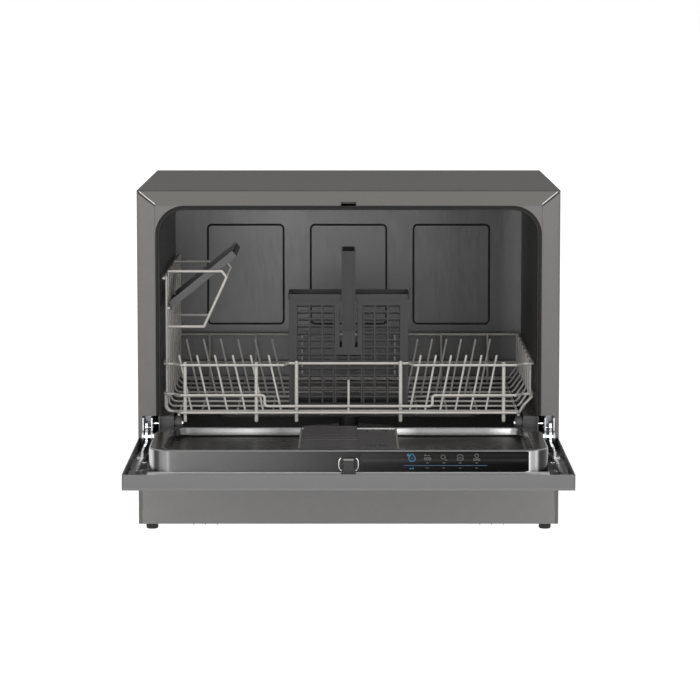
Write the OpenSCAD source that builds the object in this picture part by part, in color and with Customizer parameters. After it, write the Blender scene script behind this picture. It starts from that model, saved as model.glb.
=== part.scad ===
// Countertop dishwasher, door open, with its rack, cutlery basket and water parts.
// X runs across the machine, Y from the open door towards the back, Z up.
// The origin lies on the worktop below the middle of the open machine.
// Inside the modules Y is measured from the casing's front plane.

/* [Casing] */
// Width across the side panels
body_w = 550; // [530:1:570]
// Depth of the casing, front plane to rearmost fitting
cab_d = 480; // [465:1:500]
// Height of the casing above the feet
cab_h = 437; // [430:1:450]
// Thickness of the painted casing sheet
sheet = 1.2; // [0.8:0.1:1.5]
// Outer radius of the sheet's bends
bend_r = 3; // [2:0.5:4]
// Width of the front flange on each side
side_flange_w = 23; // [20:0.5:25]
// Height of the front flange along the top
top_flange_h = 18.7; // [16:0.1:19]
// Width of the rear and bottom flanges
edge_flange_w = 12; // [9:1:16]
// Width of the groove along the front mitres
mitre_w = 2.6; // [1.5:0.1:3.5]
// Radius of the pressed screw covers on the front flange
cover_r = 8; // [5:0.5:8.5]

/* [Feet and plinth] */
// Height of the rubber feet
foot_h = 8; // [6:0.5:12]
// Diameter of a rubber foot
foot_d = 16; // [12:1:20]
// Distance of a foot's centre from the casing's side
foot_inset = 17; // [15:1:24]
// Distance of the front feet's centres from the front plane
foot_front = 16; // [14:1:24]
// Distance of the rear feet's centres from the casing's back
foot_rear = 40; // [25:1:60]
// Thickness of the base tray
tray_t = 1.5; // [1:0.1:2]
// Height of the base tray's rim
tray_rim_h = 18; // [12:1:25]
// Spacing of the small locating lugs below the plinth
lug_pitch = 15.6; // [12:0.1:18]

/* [Door] */
// Height of the hinge axis above the casing's bottom edge
hinge_rise = 114.7; // [112:0.1:118]
// Distance of the hinge axis behind the front plane
hinge_y = 2; // [1:0.1:3]
// Thickness of the door's outer tray
door_t = 19.6; // [18:0.1:22]
// Gap between the closed door and the front flange
door_gap = 0.3; // [0.3:0.1:1]
// Gap between the closed door's top edge and the casing's top
door_top_gap = 2.2; // [1.5:0.1:4]
// Length of the door below its hinge axis when it is closed
door_skirt = 22; // [19:0.5:23]
// Clearance around the swinging lower edge of the door
door_clear = 2.4; // [1.5:0.1:3]
// Radius of the door's front corners
door_corner_r = 4; // [3:0.5:6]
// Bevel along the door's lower front edge
door_bevel = 3; // [2:0.5:4]

/* [Door liner] */
// Thickness of the liner's steel
liner_t = 1; // [0.6:0.1:1.2]
// Height of the liner's floor above the hinge axis
liner_floor_rise = 3; // [2:0.1:3.5]
// Height of the liner's border above its floor
liner_border_h = 21.3; // [19:0.1:23]
// Height of the border at the hinge end above the floor
liner_rear_h = 10.8; // [9:0.1:11]
// Width of the liner's front border
liner_front_w = 9; // [8.5:0.1:12]
// Width of the liner's side borders
liner_side_w = 18.6; // [17.5:0.1:20]
// Length over which the border falls towards the hinge
liner_taper_l = 100; // [80:1:115]
// Radius of the recess's front corners
recess_r = 25; // [18:1:28]

/* [Opening and gasket] */
// Distance from the casing's side to the gasket
open_margin = 24; // [24:0.1:25]
// Distance from the casing's top to the gasket
open_margin_top = 19.7; // [19.5:0.1:21]
// Width of the rubber gasket
gasket_w = 5.8; // [5:0.1:7]
// Depth of the rubber gasket
gasket_d = 12; // [10:0.5:13]
// Outer corner radius of the gasket
gasket_r = 38; // [34:1:42]
// Gap between the closed liner and the gasket
seal_gap = 0.6; // [0.4:0.1:1]

/* [Tub] */
// Thickness of the tub's steel
tub_t = 1; // [0.7:0.1:1.2]
// Step from the gasket's inner edge out to the tub wall
tub_step = 2; // [1:0.1:2.5]
// Space between the tub's back wall and the casing's back
tub_back_gap = 48; // [42:1:55]
// Depth of the tub's floor below the sill
tub_well_h = 28; // [24:1:30]
// Rise of the tub's floor from its middle to its sides
tub_fall = 12; // [8:1:16]
// Width of an embossed panel on the back wall
emboss_w = 108; // [90:1:115]
// Height of an embossed panel on the back wall
emboss_h = 142; // [120:1:150]
// Height of an embossed panel above the wall
emboss_t = 1.5; // [0.8:0.1:2]
// Radius of the side walls' pressed holes
side_hole_r = 2; // [1.5:0.1:3]

/* [Water parts] */
// Radius of the sump bowl
sump_r = 62; // [56:1:66]
// Depth of the sump bowl below the tub floor
sump_depth = 44; // [36:1:50]
// Radius of the spray arm's reach
arm_reach = 180; // [160:1:184]
// Width of the spray arm's blades at their root
arm_w = 40; // [32:1:46]
// Radius of the spray arm's bearing post
arm_post_r = 8; // [6:0.5:10]
// Running clearance of turning parts on their posts and pins
run_clear = 0.06; // [0.04:0.01:0.09]
// Radius of the filter cup
filter_r = 19; // [15:1:21]
// Distance of the filter cup from the sump's middle
filter_off = 38; // [36:1:40]
// Radius of the threaded water inlet
inlet_r = 13.2; // [12:0.1:14]
// Radius of the drain spout
spout_r = 9.5; // [8:0.1:11]
// Radius of the cable gland's bore
gland_bore_r = 3.8; // [3:0.1:5]

/* [Hinges and rollers] */
// Thickness of a hinge bracket's plates
bracket_t = 2; // [1.5:0.1:2.5]
// Thickness of a hinge arm
arm_t = 3; // [2.5:0.1:4]
// Radius of a hinge pin
pin_r = 4; // [3:0.1:4.5]
// Radius of a rack roller
roller_r = 9.5; // [8.5:0.1:9.7]
// Width of a rack roller
roller_w = 8; // [7:0.1:8.5]
// Radius of a roller's axle
axle_r = 3; // [2.5:0.1:3.5]
// Diameter of a door spring's coil
spring_d = 8; // [6:0.1:9]
// Diameter of a door spring's wire
spring_wire_d = 1.6; // [1.2:0.1:1.8]
// Turns of a door spring
spring_turns = 12; // [8:1:16]

/* [Rack] */
// Diameter of the rack's frame wires
frame_d = 3.6; // [3:0.1:4]
// Diameter of the rack's cross wires
cross_d = 3; // [2.5:0.1:3.4]
// Diameter of the rack's front posts
post_d = 4.8; // [4:0.1:5.4]
// Diameter of a tine
tine_d = 2.8; // [2.2:0.1:3.2]
// Number of cross wires under the rack
cross_n = 8; // [7:1:9]
// Gap between the rack and the gasket on each side
rack_gap = 1.1; // [0.8:0.1:3]
// Height of the rack's top rail above its floor
rack_top_h = 63; // [58:1:68]
// Height of the rack's middle rail above its floor
rack_mid_h = 23.2; // [21:0.1:28]
// Height of the left side's top rail above the rack's floor
rack_tall_h = 176; // [168:1:180]
// Distance of the rack's front rail behind the front plane
rack_front = 21; // [20.7:0.1:24]
// How far the middle of the top rail is set back
rack_notch = 21; // [19:0.5:25]
// Length of a tine
tine_l = 76; // [60:1:80]
// Spacing of the left tines
tine_pitch_l = 23.6; // [20:0.1:24]
// Spacing of the right tines
tine_pitch_r = 20; // [17:0.1:22]
// Lean of the left tines
tine_lean_l = 12.6; // [5:0.1:14]
// Lean of the right tines
tine_lean_r = 11; // [5:0.1:14]

/* [Cup shelf] */
// Length of the cup shelf from its pivot
shelf_l = 112; // [95:1:120]
// Width of the cup shelf, front to back
shelf_w = 150; // [130:1:170]
// Thickness of the cup shelf
shelf_t = 3; // [2.5:0.1:4]
// Tilt of the cup shelf at rest
shelf_tilt = 39; // [36:1:42]

/* [Cutlery basket] */
// Width of the basket
basket_w = 157; // [145:1:158]
// Depth of the basket
basket_d = 71; // [62:1:80]
// Height of the basket
basket_h = 152; // [145:1:158]
// Thickness of the basket's walls
basket_t = 2.4; // [2:0.1:3]
// Thickness of a bar in the basket's grille
grille_bar = 2; // [1.6:0.1:2.6]
// Height of one opening and bar of the grille
grille_pitch_z = 9.4; // [9:0.1:10]
// Width of one opening and bar of the grille
grille_pitch_x = 17.2; // [16:0.1:17.4]
// Width of the basket's handle
handle_w = 18.3; // [15:0.1:20]
// Height of the handle above the basket's rim
handle_rise = 57; // [48:1:60]

/* [Dispenser and latch] */
// Width of the detergent dispenser
disp_w = 124; // [118:1:126]
// Length of the detergent dispenser
disp_l = 186; // [178:1:188]
// Distance of the dispenser from the hinge axis
disp_off = 42; // [41:0.5:46]
// Height of the dispenser's frame above the liner's floor
disp_h = 12.9; // [11:0.1:13.2]
// Rise of the wedge behind the dispenser's lid
disp_wedge_h = 4.5; // [3:0.1:4.6]
// Radius of the rinse aid cap
cap_r = 15; // [12:0.5:17]
// Width of the latch tongue
tongue_w = 12.6; // [10:0.1:14]
// Thickness of the latch tongue
tongue_t = 3.4; // [2.6:0.1:3.6]

/* [Hidden] */
$fn = 40;

// Colours
casing_colour = [0.45, 0.45, 0.44];
steel_colour = [0.62, 0.63, 0.64];
chrome_colour = [0.82, 0.83, 0.84];
zinc_colour = [0.56, 0.58, 0.6];
dark_colour = [0.2, 0.19, 0.2];
rubber_colour = [0.08, 0.08, 0.08];
wire_colour = [0.74, 0.72, 0.69];
pale_colour = [0.85, 0.85, 0.82];

// Gap between pieces that touch
touch = 0.05;
// Gap between pieces that move past each other
slip = 0.3;
// Depth of one welded wire in another
weld = 0.3;
// Overshoot of a cutting shape
cut = 1;
// Depth of the rear fittings' heads behind the rear flange
rear_head_h = 1.8;

// Casing
half_w = body_w / 2;
base_z = foot_h;
top_z = base_z + cab_h;
rear_y = cab_d - rear_head_h;
hem_w = 5;
slot_r = 4;

// Hinge and door
hinge_z = base_z + hinge_rise;
fold_sum = hinge_y + hinge_z;
rim_z = hinge_z - hinge_y - door_gap;
door_bottom_z = rim_z - door_t;
door_front_y = fold_sum - (top_z - door_top_gap);
door_tail_y = hinge_y + door_skirt;
sweep_r = norm([door_skirt, hinge_z - door_bottom_z]);
notch_r = sweep_r + door_clear;
plinth_top = hinge_z - notch_r;
front_y = -(cab_d + door_front_y) / 2;
flange_drop = 12.4;
side_ledge_z = rim_z - flange_drop;

// Opening
open_hw = half_w - open_margin;
open_top = top_z - open_margin_top;
seal_hw = open_hw - gasket_w;
seal_top = open_top - gasket_w;
seal_r = gasket_r - gasket_w;
gasket_y = sheet + touch;
frame_back = gasket_y + gasket_d + touch;

// Liner
liner_hw = seal_hw - seal_gap;
liner_y0 = fold_sum - (seal_top - 2 * seal_gap);
liner_y1 = hinge_y - 6;
floor_z = hinge_z + liner_floor_rise;
border_z = floor_z + liner_border_h;
rear_border_z = floor_z + liner_rear_h;
recess_hw = liner_hw - liner_side_w;
recess_y0 = liner_y0 + liner_front_w;
lip_foot_y = hinge_y - 16;
lip_top_y = hinge_y - 10;
taper_y1 = hinge_y - 32;
taper_y0 = taper_y1 - liner_taper_l;
strip_z = rim_z - sheet;

// Tub
tub_hw = seal_hw + tub_step;
tub_top = seal_top + tub_step;
tub_r = seal_r + tub_step;
tub_back = cab_d - tub_back_gap;
sill_z = hinge_z + 4.3;
sill_y = hinge_y + 4;
drop_y = hinge_y + notch_r + 0.2;
well_z = sill_z - tub_well_h;
well_hw = 82;
slot_top = hinge_z + 28;

// Sump and spray arm
arm_y = (drop_y + tub_back) / 2;
arm_z = well_z + 21;
arm_h = 13;

// Rollers and rack
roller_y = hinge_y + 14 + roller_r + 2;
roller_z = sill_z + roller_r + 0.8;
runner_z = roller_z + roller_r + slip + frame_d / 2;
cross_z = runner_z + frame_d / 2 + cross_d / 2 - weld;
rack_hw = seal_hw - rack_gap - frame_d / 2;
runner_x = recess_hw - 1.2 - frame_d / 2;
side_wire_x = rack_hw - frame_d / 2 - cross_d / 2 + weld;
rack_back = tub_back - 28;
rack_end_y = rack_front + 15;
notch_y = rack_front + rack_notch;
rail_top_z = cross_z + rack_top_h;
rail_mid_z = cross_z + rack_mid_h;
rail_low_z = cross_z + 8.9;
tall_z = cross_z + rack_tall_h;
jog_x = runner_x - 3.5;
jog_end_x = jog_x + 10;
corner_r = 8;
turn_r = 5;
low_y = rack_front - weld - touch;
low_z = cross_z + weld;
low_end_x = rack_hw - 1.5;
low_end_y = rack_end_y + 1.5;
low_knee = [jog_x + 5, low_y + 6, low_z];
low_cut = ([jog_x, low_y, low_z] + low_knee) / 2;
low_gap = (low_knee - [jog_x, low_y, low_z]) / norm([5, 6]) * touch / 2;
cross_step = (rack_back - cross_d - notch_y - 8) / (cross_n - 1);
cross_y = [for (i = [0 : cross_n - 1]) notch_y + i * cross_step];
tine_n = 6;
tine_first_r = basket_w / 2 + tine_d / 2 + slip;
tine_first_l = tine_first_r + 8;
ledge_z = sill_z + 13;

// Hinge hardware across the machine
plate_in_x = tub_hw + tub_t + 8;
arm_x = plate_in_x + bracket_t + 4;
plate_out_x = arm_x + arm_t + 2.4;
stop_r = 2.5;
block_in_x = runner_x + roller_w / 2 + 2;
block_top = roller_z + roller_r + 1;

// Basket
handle_t = 3.1;
basket_y = notch_y + frame_d / 2 + slip + handle_t + slip + 1;
basket_z = cross_z + cross_d / 2 + slip;
basket_top = basket_z + basket_h;
handle_y = basket_y - 1 - slip - handle_t;

// Cup shelf
shelf_x = side_wire_x - cross_d / 2 - frame_d / 2 + weld;
shelf_z = cross_z + 136;
shelf_y0 = cross_y[0] + 6;

// Dispenser
disp_y1 = hinge_y - disp_off;
disp_y0 = disp_y1 - disp_l;
disp_z = floor_z + touch;
disp_top = disp_z + disp_h;
disp_split_x = 12;

// Latch
tongue_y = liner_y0 - 8 - tongue_t;
tongue_top = strip_z + 18.8;

// Puts a module's shapes, drawn from the casing's front plane, in the part's frame.
module at_front() translate([0, front_y, 0]) children();

// Draws a right-hand shape on the right for 1 and on the left for -1.
module on_side(side) {
    if (side < 0) mirror([1, 0, 0]) children();
    else children();
}

// Solid between two limits on each axis.
module block(x0, x1, y0, y1, z0, z1) translate([x0, y0, z0]) cube([x1 - x0, y1 - y0, z1 - z0]);

// Outline drawn in Y and Z, carried from x0 to x1.
module slab_x(x0, x1) translate([x0, 0, 0]) rotate([90, 0, 90]) linear_extrude(x1 - x0) children();

// Outline drawn in X and Z, carried from y0 to y1.
module slab_y(y0, y1) translate([0, y1, 0]) rotate([90, 0, 0]) linear_extrude(y1 - y0) children();

// Outline drawn in X and Y, carried from z0 to z1.
module slab_z(z0, z1) translate([0, 0, z0]) linear_extrude(z1 - z0) children();

module rod_x(x0, x1, y, z, r) translate([x0, y, z]) rotate([0, 90, 0]) cylinder(r = r, h = x1 - x0);

module rod_y(x, y0, y1, z, r) translate([x, y1, z]) rotate([90, 0, 0]) cylinder(r = r, h = y1 - y0);

module rod_z(x, y, z0, z1, r) translate([x, y, z0]) cylinder(r = r, h = z1 - z0);

// Round rod between two points.
module rod(p, q, r) {
    v = q - p;
    l = norm(v);
    translate(p) rotate([0, acos(v[2] / l), atan2(v[1], v[0])]) cylinder(r = r, h = l);
}

// Wire through a list of points, with a slightly fuller knee at each bend.
module wire(points, d) {
    for (i = [1 : len(points) - 1]) rod(points[i - 1], points[i], d / 2);
    for (i = [1 : 1 : len(points) - 2]) translate(points[i]) sphere(d / 2 * 1.05);
}

// Quarter bend of a wire in a level plane, from the angle start to start + 90.
module bend_level(x, y, z, start, r, d) {
    translate([x, y, z]) rotate([0, 0, start])
        rotate_extrude(angle = 90) translate([r, 0]) circle(d / 2);
}

// Quarter bend of a wire in an upright plane across the machine.
module bend_upright(x, y, z, start, r, d) {
    translate([x, y, z]) rotate([90, 0, 0]) rotate([0, 0, start])
        rotate_extrude(angle = 90) translate([r, 0]) circle(d / 2);
}

// Rectangle with four round corners, about its middle.
module round_rect(w, h, r) {
    square([w - 2 * r, h], center = true);
    square([w, h - 2 * r], center = true);
    for (x = [-1, 1], y = [-1, 1]) translate([x * (w / 2 - r), y * (h / 2 - r)]) circle(r);
}

// Shape from z0 to z1 whose two upper corners are round.
module arch(hw, z0, z1, r) {
    translate([-hw, z0]) square([2 * hw, z1 - r - z0]);
    translate([-(hw - r), z0]) square([2 * (hw - r), z1 - z0]);
    for (s = [-1, 1]) translate([s * (hw - r), z1 - r]) circle(r);
}

// Folded sheet corner: leg a along X, leg b along Y, outer bend at the origin.
module fold_section(a, b, t, r) {
    translate([r, 0]) square([a - r, t]);
    translate([0, r]) square([t, b - r]);
    intersection() {
        translate([r, r]) difference() {
            circle(r);
            circle(r - t);
        }
        square(r);
    }
}

// Groove along the mitre between the top and side flanges, drawn on the right.
module mitre_groove() {
    inner = [half_w - side_flange_w, top_z - top_flange_h];
    outer = [half_w - 2, top_z - 2.6];
    run = outer - inner;
    slab_y(-cut, sheet + touch / 2)
        translate((inner + outer) / 2) rotate(atan2(run[1], run[0]))
            round_rect(norm(run) + mitre_w, mitre_w, mitre_w / 2 - 0.01);
}

// Opening in the top flange and frame for the latch tongue.
module latch_window(y0, y1) {
    z0 = fold_sum - (tongue_y + tongue_t) - 0.7;
    block(-tongue_w / 2 - 3.7, tongue_w / 2 + 3.7, y0, y1, z0 - 1, z0 + tongue_t + 1.4);
}

module top_panel() {
    corner = [half_w - side_flange_w, top_z - top_flange_h];
    color(casing_colour) at_front() difference() {
        slab_x(-half_w, half_w) {
            translate([0, top_z]) mirror([0, 1]) fold_section(rear_y / 2, top_flange_h, sheet, bend_r);
            translate([rear_y, top_z]) mirror([1, 0]) mirror([0, 1])
                fold_section(rear_y / 2 + cut, edge_flange_w, sheet, bend_r);
        }
        for (s = [-1, 1]) on_side(s) {
            slab_y(-cut, bend_r + cut) polygon([
                [half_w + cut, top_z - sheet - touch], [half_w, top_z - sheet - touch], corner,
                corner - [0, cut], [half_w + cut, corner[1] - cut]
            ]);
            slab_y(rear_y - bend_r - cut, rear_y + cut) polygon([
                [half_w + cut, top_z - sheet - touch], [half_w - edge_flange_w, top_z - sheet - touch],
                [half_w - edge_flange_w, 0], [half_w + cut, 0]
            ]);
            mitre_groove();
            rod_y(half_w * 0.4665, -cut, sheet / 4, top_z - top_flange_h / 2 - 0.6, cover_r);
        }
        latch_window(-cut, bend_r + cut);
    }
}

// Side panel, drawn on the right.
module side_panel() {
    corner = [half_w - side_flange_w, top_z - top_flange_h];
    difference() {
        union() {
            slab_z(base_z, top_z - sheet - touch) {
                translate([half_w, 0]) mirror([1, 0]) fold_section(side_flange_w, rear_y / 2, sheet, bend_r);
                translate([half_w, rear_y]) mirror([1, 0]) mirror([0, 1])
                    fold_section(edge_flange_w, rear_y / 2 + cut, sheet, bend_r);
            }
            block(half_w - edge_flange_w, half_w - sheet / 2, bend_r + cut, rear_y - bend_r - cut,
                base_z, base_z + sheet);
        }
        slab_y(-cut, bend_r + cut) polygon([
            [half_w, top_z - sheet], corner + [-cut, -cut / 2], corner + [-cut, cut],
            [corner[0], top_z + cut], [half_w, top_z + cut]
        ]);
        mitre_groove();
        // Slot for the hinge arm, with a round upper corner
        slab_y(-cut, sheet + cut) intersection() {
            translate([half_w - hem_w - 30, slot_top - 60]) round_rect(60, 120, slot_r);
            translate([half_w - hem_w - 60, hinge_z - 60]) square([90, 120]);
        }
        block(half_w - side_flange_w - cut, half_w - hem_w, -cut, sheet + cut,
            base_z - cut, hinge_z);
        // Room for the lower edge of the door
        intersection() {
            rod_x(half_w - 30, half_w + cut, hinge_y, hinge_z, notch_r);
            block(half_w - 40, half_w + 2 * cut, -60, 60, 0, hinge_z - 1.2);
        }
        for (z = [foot_h + 168, foot_h + 343])
            rod_y(half_w - side_flange_w / 2 + 0.5, -cut, sheet / 4, z, cover_r);
    }
}

module side_panel_left() color(casing_colour) at_front() on_side(-1) side_panel();

module side_panel_right() color(casing_colour) at_front() side_panel();

// Rear fittings' places across the machine and above the base
inlet_x = 190;
spout_x = 138;
gland_x = -190;
fitting_z = base_z + 48;
pocket_x0 = spout_x - 28;
pocket_x1 = inlet_x + 28;
pocket_d = 30;
screw_zs = [base_z + 40, base_z + cab_h / 2, top_z - 40];

module back_panel() {
    y0 = rear_y - 2 * sheet - touch;
    y1 = y0 + sheet;
    pz0 = base_z + 2 * sheet + 2 * touch + tray_rim_h;
    pz1 = fitting_z + 28;
    color(zinc_colour) at_front() difference() {
        union() {
            block(-half_w + bend_r + touch, half_w - bend_r - touch, y0, y1,
                base_z + sheet + tray_t + 2 * touch, top_z - bend_r - touch);
            block(pocket_x0 - sheet, pocket_x1 + sheet, y0 - pocket_d, y0 + sheet / 2,
                pz0 - sheet, pz1 + sheet);
        }
        block(pocket_x0, pocket_x1, y0 - pocket_d + sheet, y1 + cut, pz0, pz1);
        rod_y(inlet_x, y0 - pocket_d - cut, y1, fitting_z, inlet_r + 1);
        rod_y(spout_x, y0 - pocket_d - cut, y1, fitting_z, spout_r + 1);
        rod_y(gland_x, y0 - cut, y1 + cut, fitting_z, gland_bore_r + 4);
        for (x = [-150 : 50 : 150], z = [0 : 12 : 60])
            slab_y(y0 - cut, y1 + cut) translate([x, top_z - 110 + z]) round_rect(34, 4, 1.9);
        for (s = [-1, 1], z = screw_zs)
            rod_y(s * (half_w - edge_flange_w / 2 - 1), y0 - cut, y1 + cut, z, 1.6);
    }
}

module casing_screws() color(chrome_colour) at_front() {
    for (s = [-1, 1], z = screw_zs) {
        x = s * (half_w - edge_flange_w / 2 - 1);
        difference() {
            rod_y(x, rear_y + touch, rear_y + rear_head_h, z, 3.4);
            rod_y(x, rear_y + 0.9, rear_y + 3, z, 1.3);
        }
    }
}

module base_tray() {
    x = half_w - sheet - 0.3;
    z = base_z + sheet + touch;
    y0 = sheet + touch;
    y1 = rear_y - 2 * sheet - 2 * touch;
    color(zinc_colour) at_front() difference() {
        union() {
            difference() {
                block(-x, x, y0, y1, z, z + tray_rim_h);
                block(-x + tray_t, x - tray_t, y0 + tray_t, y1 - tray_t, z + tray_t, z + tray_rim_h + cut);
            }
            for (s = [-1, 1], i = [0 : 2]) {
                lug_x = s * (half_w - 103 + i * lug_pitch);
                block(lug_x - 1.25, lug_x + 1.25, y0, y0 + 5, base_z - 2, z + tray_t / 2);
            }
        }
        for (x = [-120 : 60 : 120], y = [150 : 60 : 330])
            slab_z(0, z + tray_t + cut) translate([x, y]) round_rect(36, 5, 2.4);
    }
}

module plinth() color(casing_colour) at_front() difference() {
    w = half_w - hem_w - 0.2;
    slab_x(-w, w) translate([0, plinth_top]) mirror([0, 1])
        fold_section(12, plinth_top - base_z, sheet, bend_r);
    for (s = [-1, 1]) on_side(s)
        block(plate_in_x - 3, w + cut, bend_r, 20, plinth_top - 2 * sheet, plinth_top + cut);
}

module feet() color(rubber_colour) at_front() {
    for (s = [-1, 1], y = [foot_front, cab_d - foot_rear]) translate([s * (half_w - foot_inset), y, 0]) {
        cylinder(d1 = foot_d - 2, d2 = foot_d, h = 1.5);
        translate([0, 0, 1.5]) cylinder(d = foot_d, h = foot_h - 1.5 - touch);
    }
}

// Section of the tub's well, grown by g on every side.
module well_section(g) {
    hw = tub_hw + g;
    polygon([
        [-hw, sill_z + 2], [-hw, well_z + tub_fall - g], [-well_hw, well_z - g],
        [well_hw, well_z - g], [hw, well_z + tub_fall - g], [hw, sill_z + 2]
    ]);
}

module tub() color(steel_colour) at_front() {
    step_z = well_z + 120;
    difference() {
        union() {
            slab_y(frame_back, tub_back + tub_t) arch(tub_hw + tub_t, sill_z - tub_t, tub_top + tub_t, tub_r + tub_t);
            slab_y(drop_y, tub_back + tub_t) well_section(tub_t);
            block(-tub_hw - tub_t, tub_hw + tub_t, sill_y, frame_back + cut, sill_z - tub_t, sill_z);
            for (s = [-1, 1]) on_side(s)
                block(tub_hw, tub_hw + tub_t, sill_y, frame_back + cut, sill_z - tub_t, slot_top - 1);
        }
        slab_y(frame_back - cut, tub_back) arch(tub_hw, sill_z, tub_top, tub_r);
        slab_y(drop_y + tub_t, tub_back) well_section(0);
        rod_z(0, arm_y, well_z - 10, well_z + 10, sump_r + 4);
        for (s = [-1, 1]) on_side(s) {
            rod_x(tub_hw - cut, tub_hw + 2 * cut, roller_y, roller_z, axle_r + 0.1);
            for (i = [1 : 3])
                rod_x(tub_hw - cut, tub_hw + 2 * cut, i * tub_back * 0.27 - 27, tub_top - 57, side_hole_r);
        }
    }
    for (x = [-1, 0, 1]) slab_y(tub_back - emboss_t, tub_back)
        translate([x * (emboss_w + 39), tub_top - 123]) round_rect(emboss_w, emboss_h, 6);
    block(-tub_hw, tub_hw, tub_back - emboss_t, tub_back, step_z - 80, step_z);
}

module tub_frame() color(steel_colour) at_front() difference() {
    union() {
        slab_y(sheet + touch, 2 * sheet) difference() {
            translate([-half_w + bend_r + touch, slot_top])
                square([body_w - 2 * bend_r - 2 * touch, top_z - bend_r - touch - slot_top]);
            arch(open_hw, 0, open_top, gasket_r);
        }
        slab_y(2 * sheet, frame_back - touch) difference() {
            arch(open_hw + sheet, slot_top, open_top + sheet, gasket_r + sheet);
            arch(open_hw, 0, open_top, gasket_r);
        }
        slab_y(frame_back - 1, frame_back - touch) difference() {
            arch(open_hw + sheet, slot_top, open_top + sheet, gasket_r + sheet);
            arch(tub_hw, 0, tub_top, tub_r);
        }
    }
    latch_window(0, frame_back + cut);
    // Seat of the gasket
    slab_y(sheet, frame_back - 1) arch(open_hw, 0, open_top, gasket_r);
}

module tub_gasket() color(rubber_colour) at_front() difference() {
    slab_y(gasket_y, gasket_y + gasket_d - 1 - touch) difference() {
        arch(open_hw - touch, slot_top, open_top - touch, gasket_r - touch);
        arch(seal_hw, 0, seal_top, seal_r);
    }
    // Soft bulb's groove on the front face
    slab_y(0, gasket_y + 0.8) difference() {
        arch(seal_hw + gasket_w / 2 + 0.7, 0, seal_top + gasket_w / 2 + 0.7, seal_r + gasket_w / 2 + 0.7);
        arch(seal_hw + gasket_w / 2 - 0.7, 0, seal_top + gasket_w / 2 - 0.7, seal_r + gasket_w / 2 - 0.7);
    }
}

module sill_seal() color(rubber_colour) at_front() {
    z1 = fold_sum - liner_y1 - slip;
    block(-recess_hw, recess_hw, sill_y + 1, sill_y + 8, sill_z + touch, sill_z + 0.8);
    block(-recess_hw, recess_hw, sill_y + 3, sill_y + 5, sill_z + 0.4, z1);
}

module door_lock() {
    z0 = fold_sum - (tongue_y + tongue_t) - 0.7;
    depth = hinge_y + (tongue_top - hinge_z) + 4;
    color(dark_colour) at_front() difference() {
        block(-21, 21, 2 * sheet + touch, depth + 12, open_top + sheet + touch, top_z - 2 * sheet);
        block(-tongue_w / 2 - 3.2, tongue_w / 2 + 3.2, 0, depth, z0 - 2, z0 + tongue_t + 1.4);
    }
}

module sump() color(dark_colour) at_front() translate([0, arm_y, 0]) difference() {
    top = well_z - tub_t - touch;
    union() {
        rod_z(0, 0, top - 3, top, sump_r + 12);
        rod_z(0, 0, top - sump_depth, top, sump_r);
        rod_z(0, 0, top - sump_depth - 10, top - sump_depth + 2, 26);
    }
    difference() {
        rod_z(0, 0, top - sump_depth + 3, top + cut, sump_r - 3);
        rod_z(0, 0, top - sump_depth, top, arm_post_r + 6);
    }
    rod_z(0, 0, top - 14, top + cut, arm_post_r);
    // Ports for the wash pump and the drain pump
    rod_x(-sump_r - cut, -sump_r / 2, 0, top - sump_depth + 17, 12 + touch);
    rod_x(sump_r / 2, sump_r + cut, 0, top - sump_depth + 17, 9 + touch);
}

module filter_plate() color(steel_colour) at_front() translate([0, arm_y, 0]) difference() {
    z0 = well_z + touch;
    union() {
        rod_z(0, 0, z0, z0 + 1.5, sump_r + 8);
        rod_z(0, filter_off * -1, z0, z0 + 3, filter_r + 4);
    }
    rod_z(0, 0, z0 - cut, z0 + 9, arm_post_r + 6);
    rod_z(0, -filter_off, z0 - cut, z0 + 9, filter_r + run_clear);
    for (ring = [0 : 1], a = [0 : 20 : 340]) {
        r = sump_r - 14 + ring * 9;
        p = [r * cos(a + ring * 10), r * sin(a + ring * 10)];
        if (norm(p + [0, filter_off]) > filter_r + 8) rod_z(p[0], p[1], z0 - cut, z0 + 5, 2);
    }
}

module filter_cup() color(pale_colour) at_front() translate([0, arm_y - filter_off, 0]) {
    z0 = well_z - 30;
    difference() {
        union() {
            rod_z(0, 0, z0, well_z + 3.2, filter_r);
            rod_z(0, 0, well_z + 3.2, well_z + 5.5, filter_r + 3);
        }
        rod_z(0, 0, z0 + 2, well_z + 9, filter_r - 2);
        for (a = [0 : 30 : 150], z = [z0 + 8, z0 + 18])
            rotate([0, 0, a]) block(-filter_r - cut, filter_r + cut, -1.5, 1.5, z, z + 6);
    }
    block(-filter_r + 1, filter_r - 1, -1.5, 1.5, well_z - 4, well_z + 9);
}

module heater() color(chrome_colour) at_front() translate([0, arm_y, 0]) {
    z = well_z - tub_t - sump_depth + 12;
    rotate([0, 0, 40]) rotate_extrude(angle = 100) translate([sump_r - 14, z]) circle(3.4);
    for (a = [50, 130]) rotate([0, 0, a]) rod_x(sump_r - 14, sump_r - 3 - touch, 0, z, 2.4);
}

module wash_pump() color(dark_colour) at_front() {
    z = well_z - tub_t - touch - sump_depth + 17;
    translate([0, arm_y, 0]) {
        rod_x(-sump_r - 22, -sump_r + 3, 0, z, 12);
        rod_x(-sump_r - 44, -sump_r - 20, 0, z, sump_depth - 18);
        rod_x(-sump_r - 110, -sump_r - 43, 0, z, 24);
        block(-sump_r - 96, -sump_r - 58, -20, 20, base_z + sheet + tray_t + 2 * touch, z - 15);
        rod_y(-sump_r - 32, -60, -20, z + 10, 8);
    }
}

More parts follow.
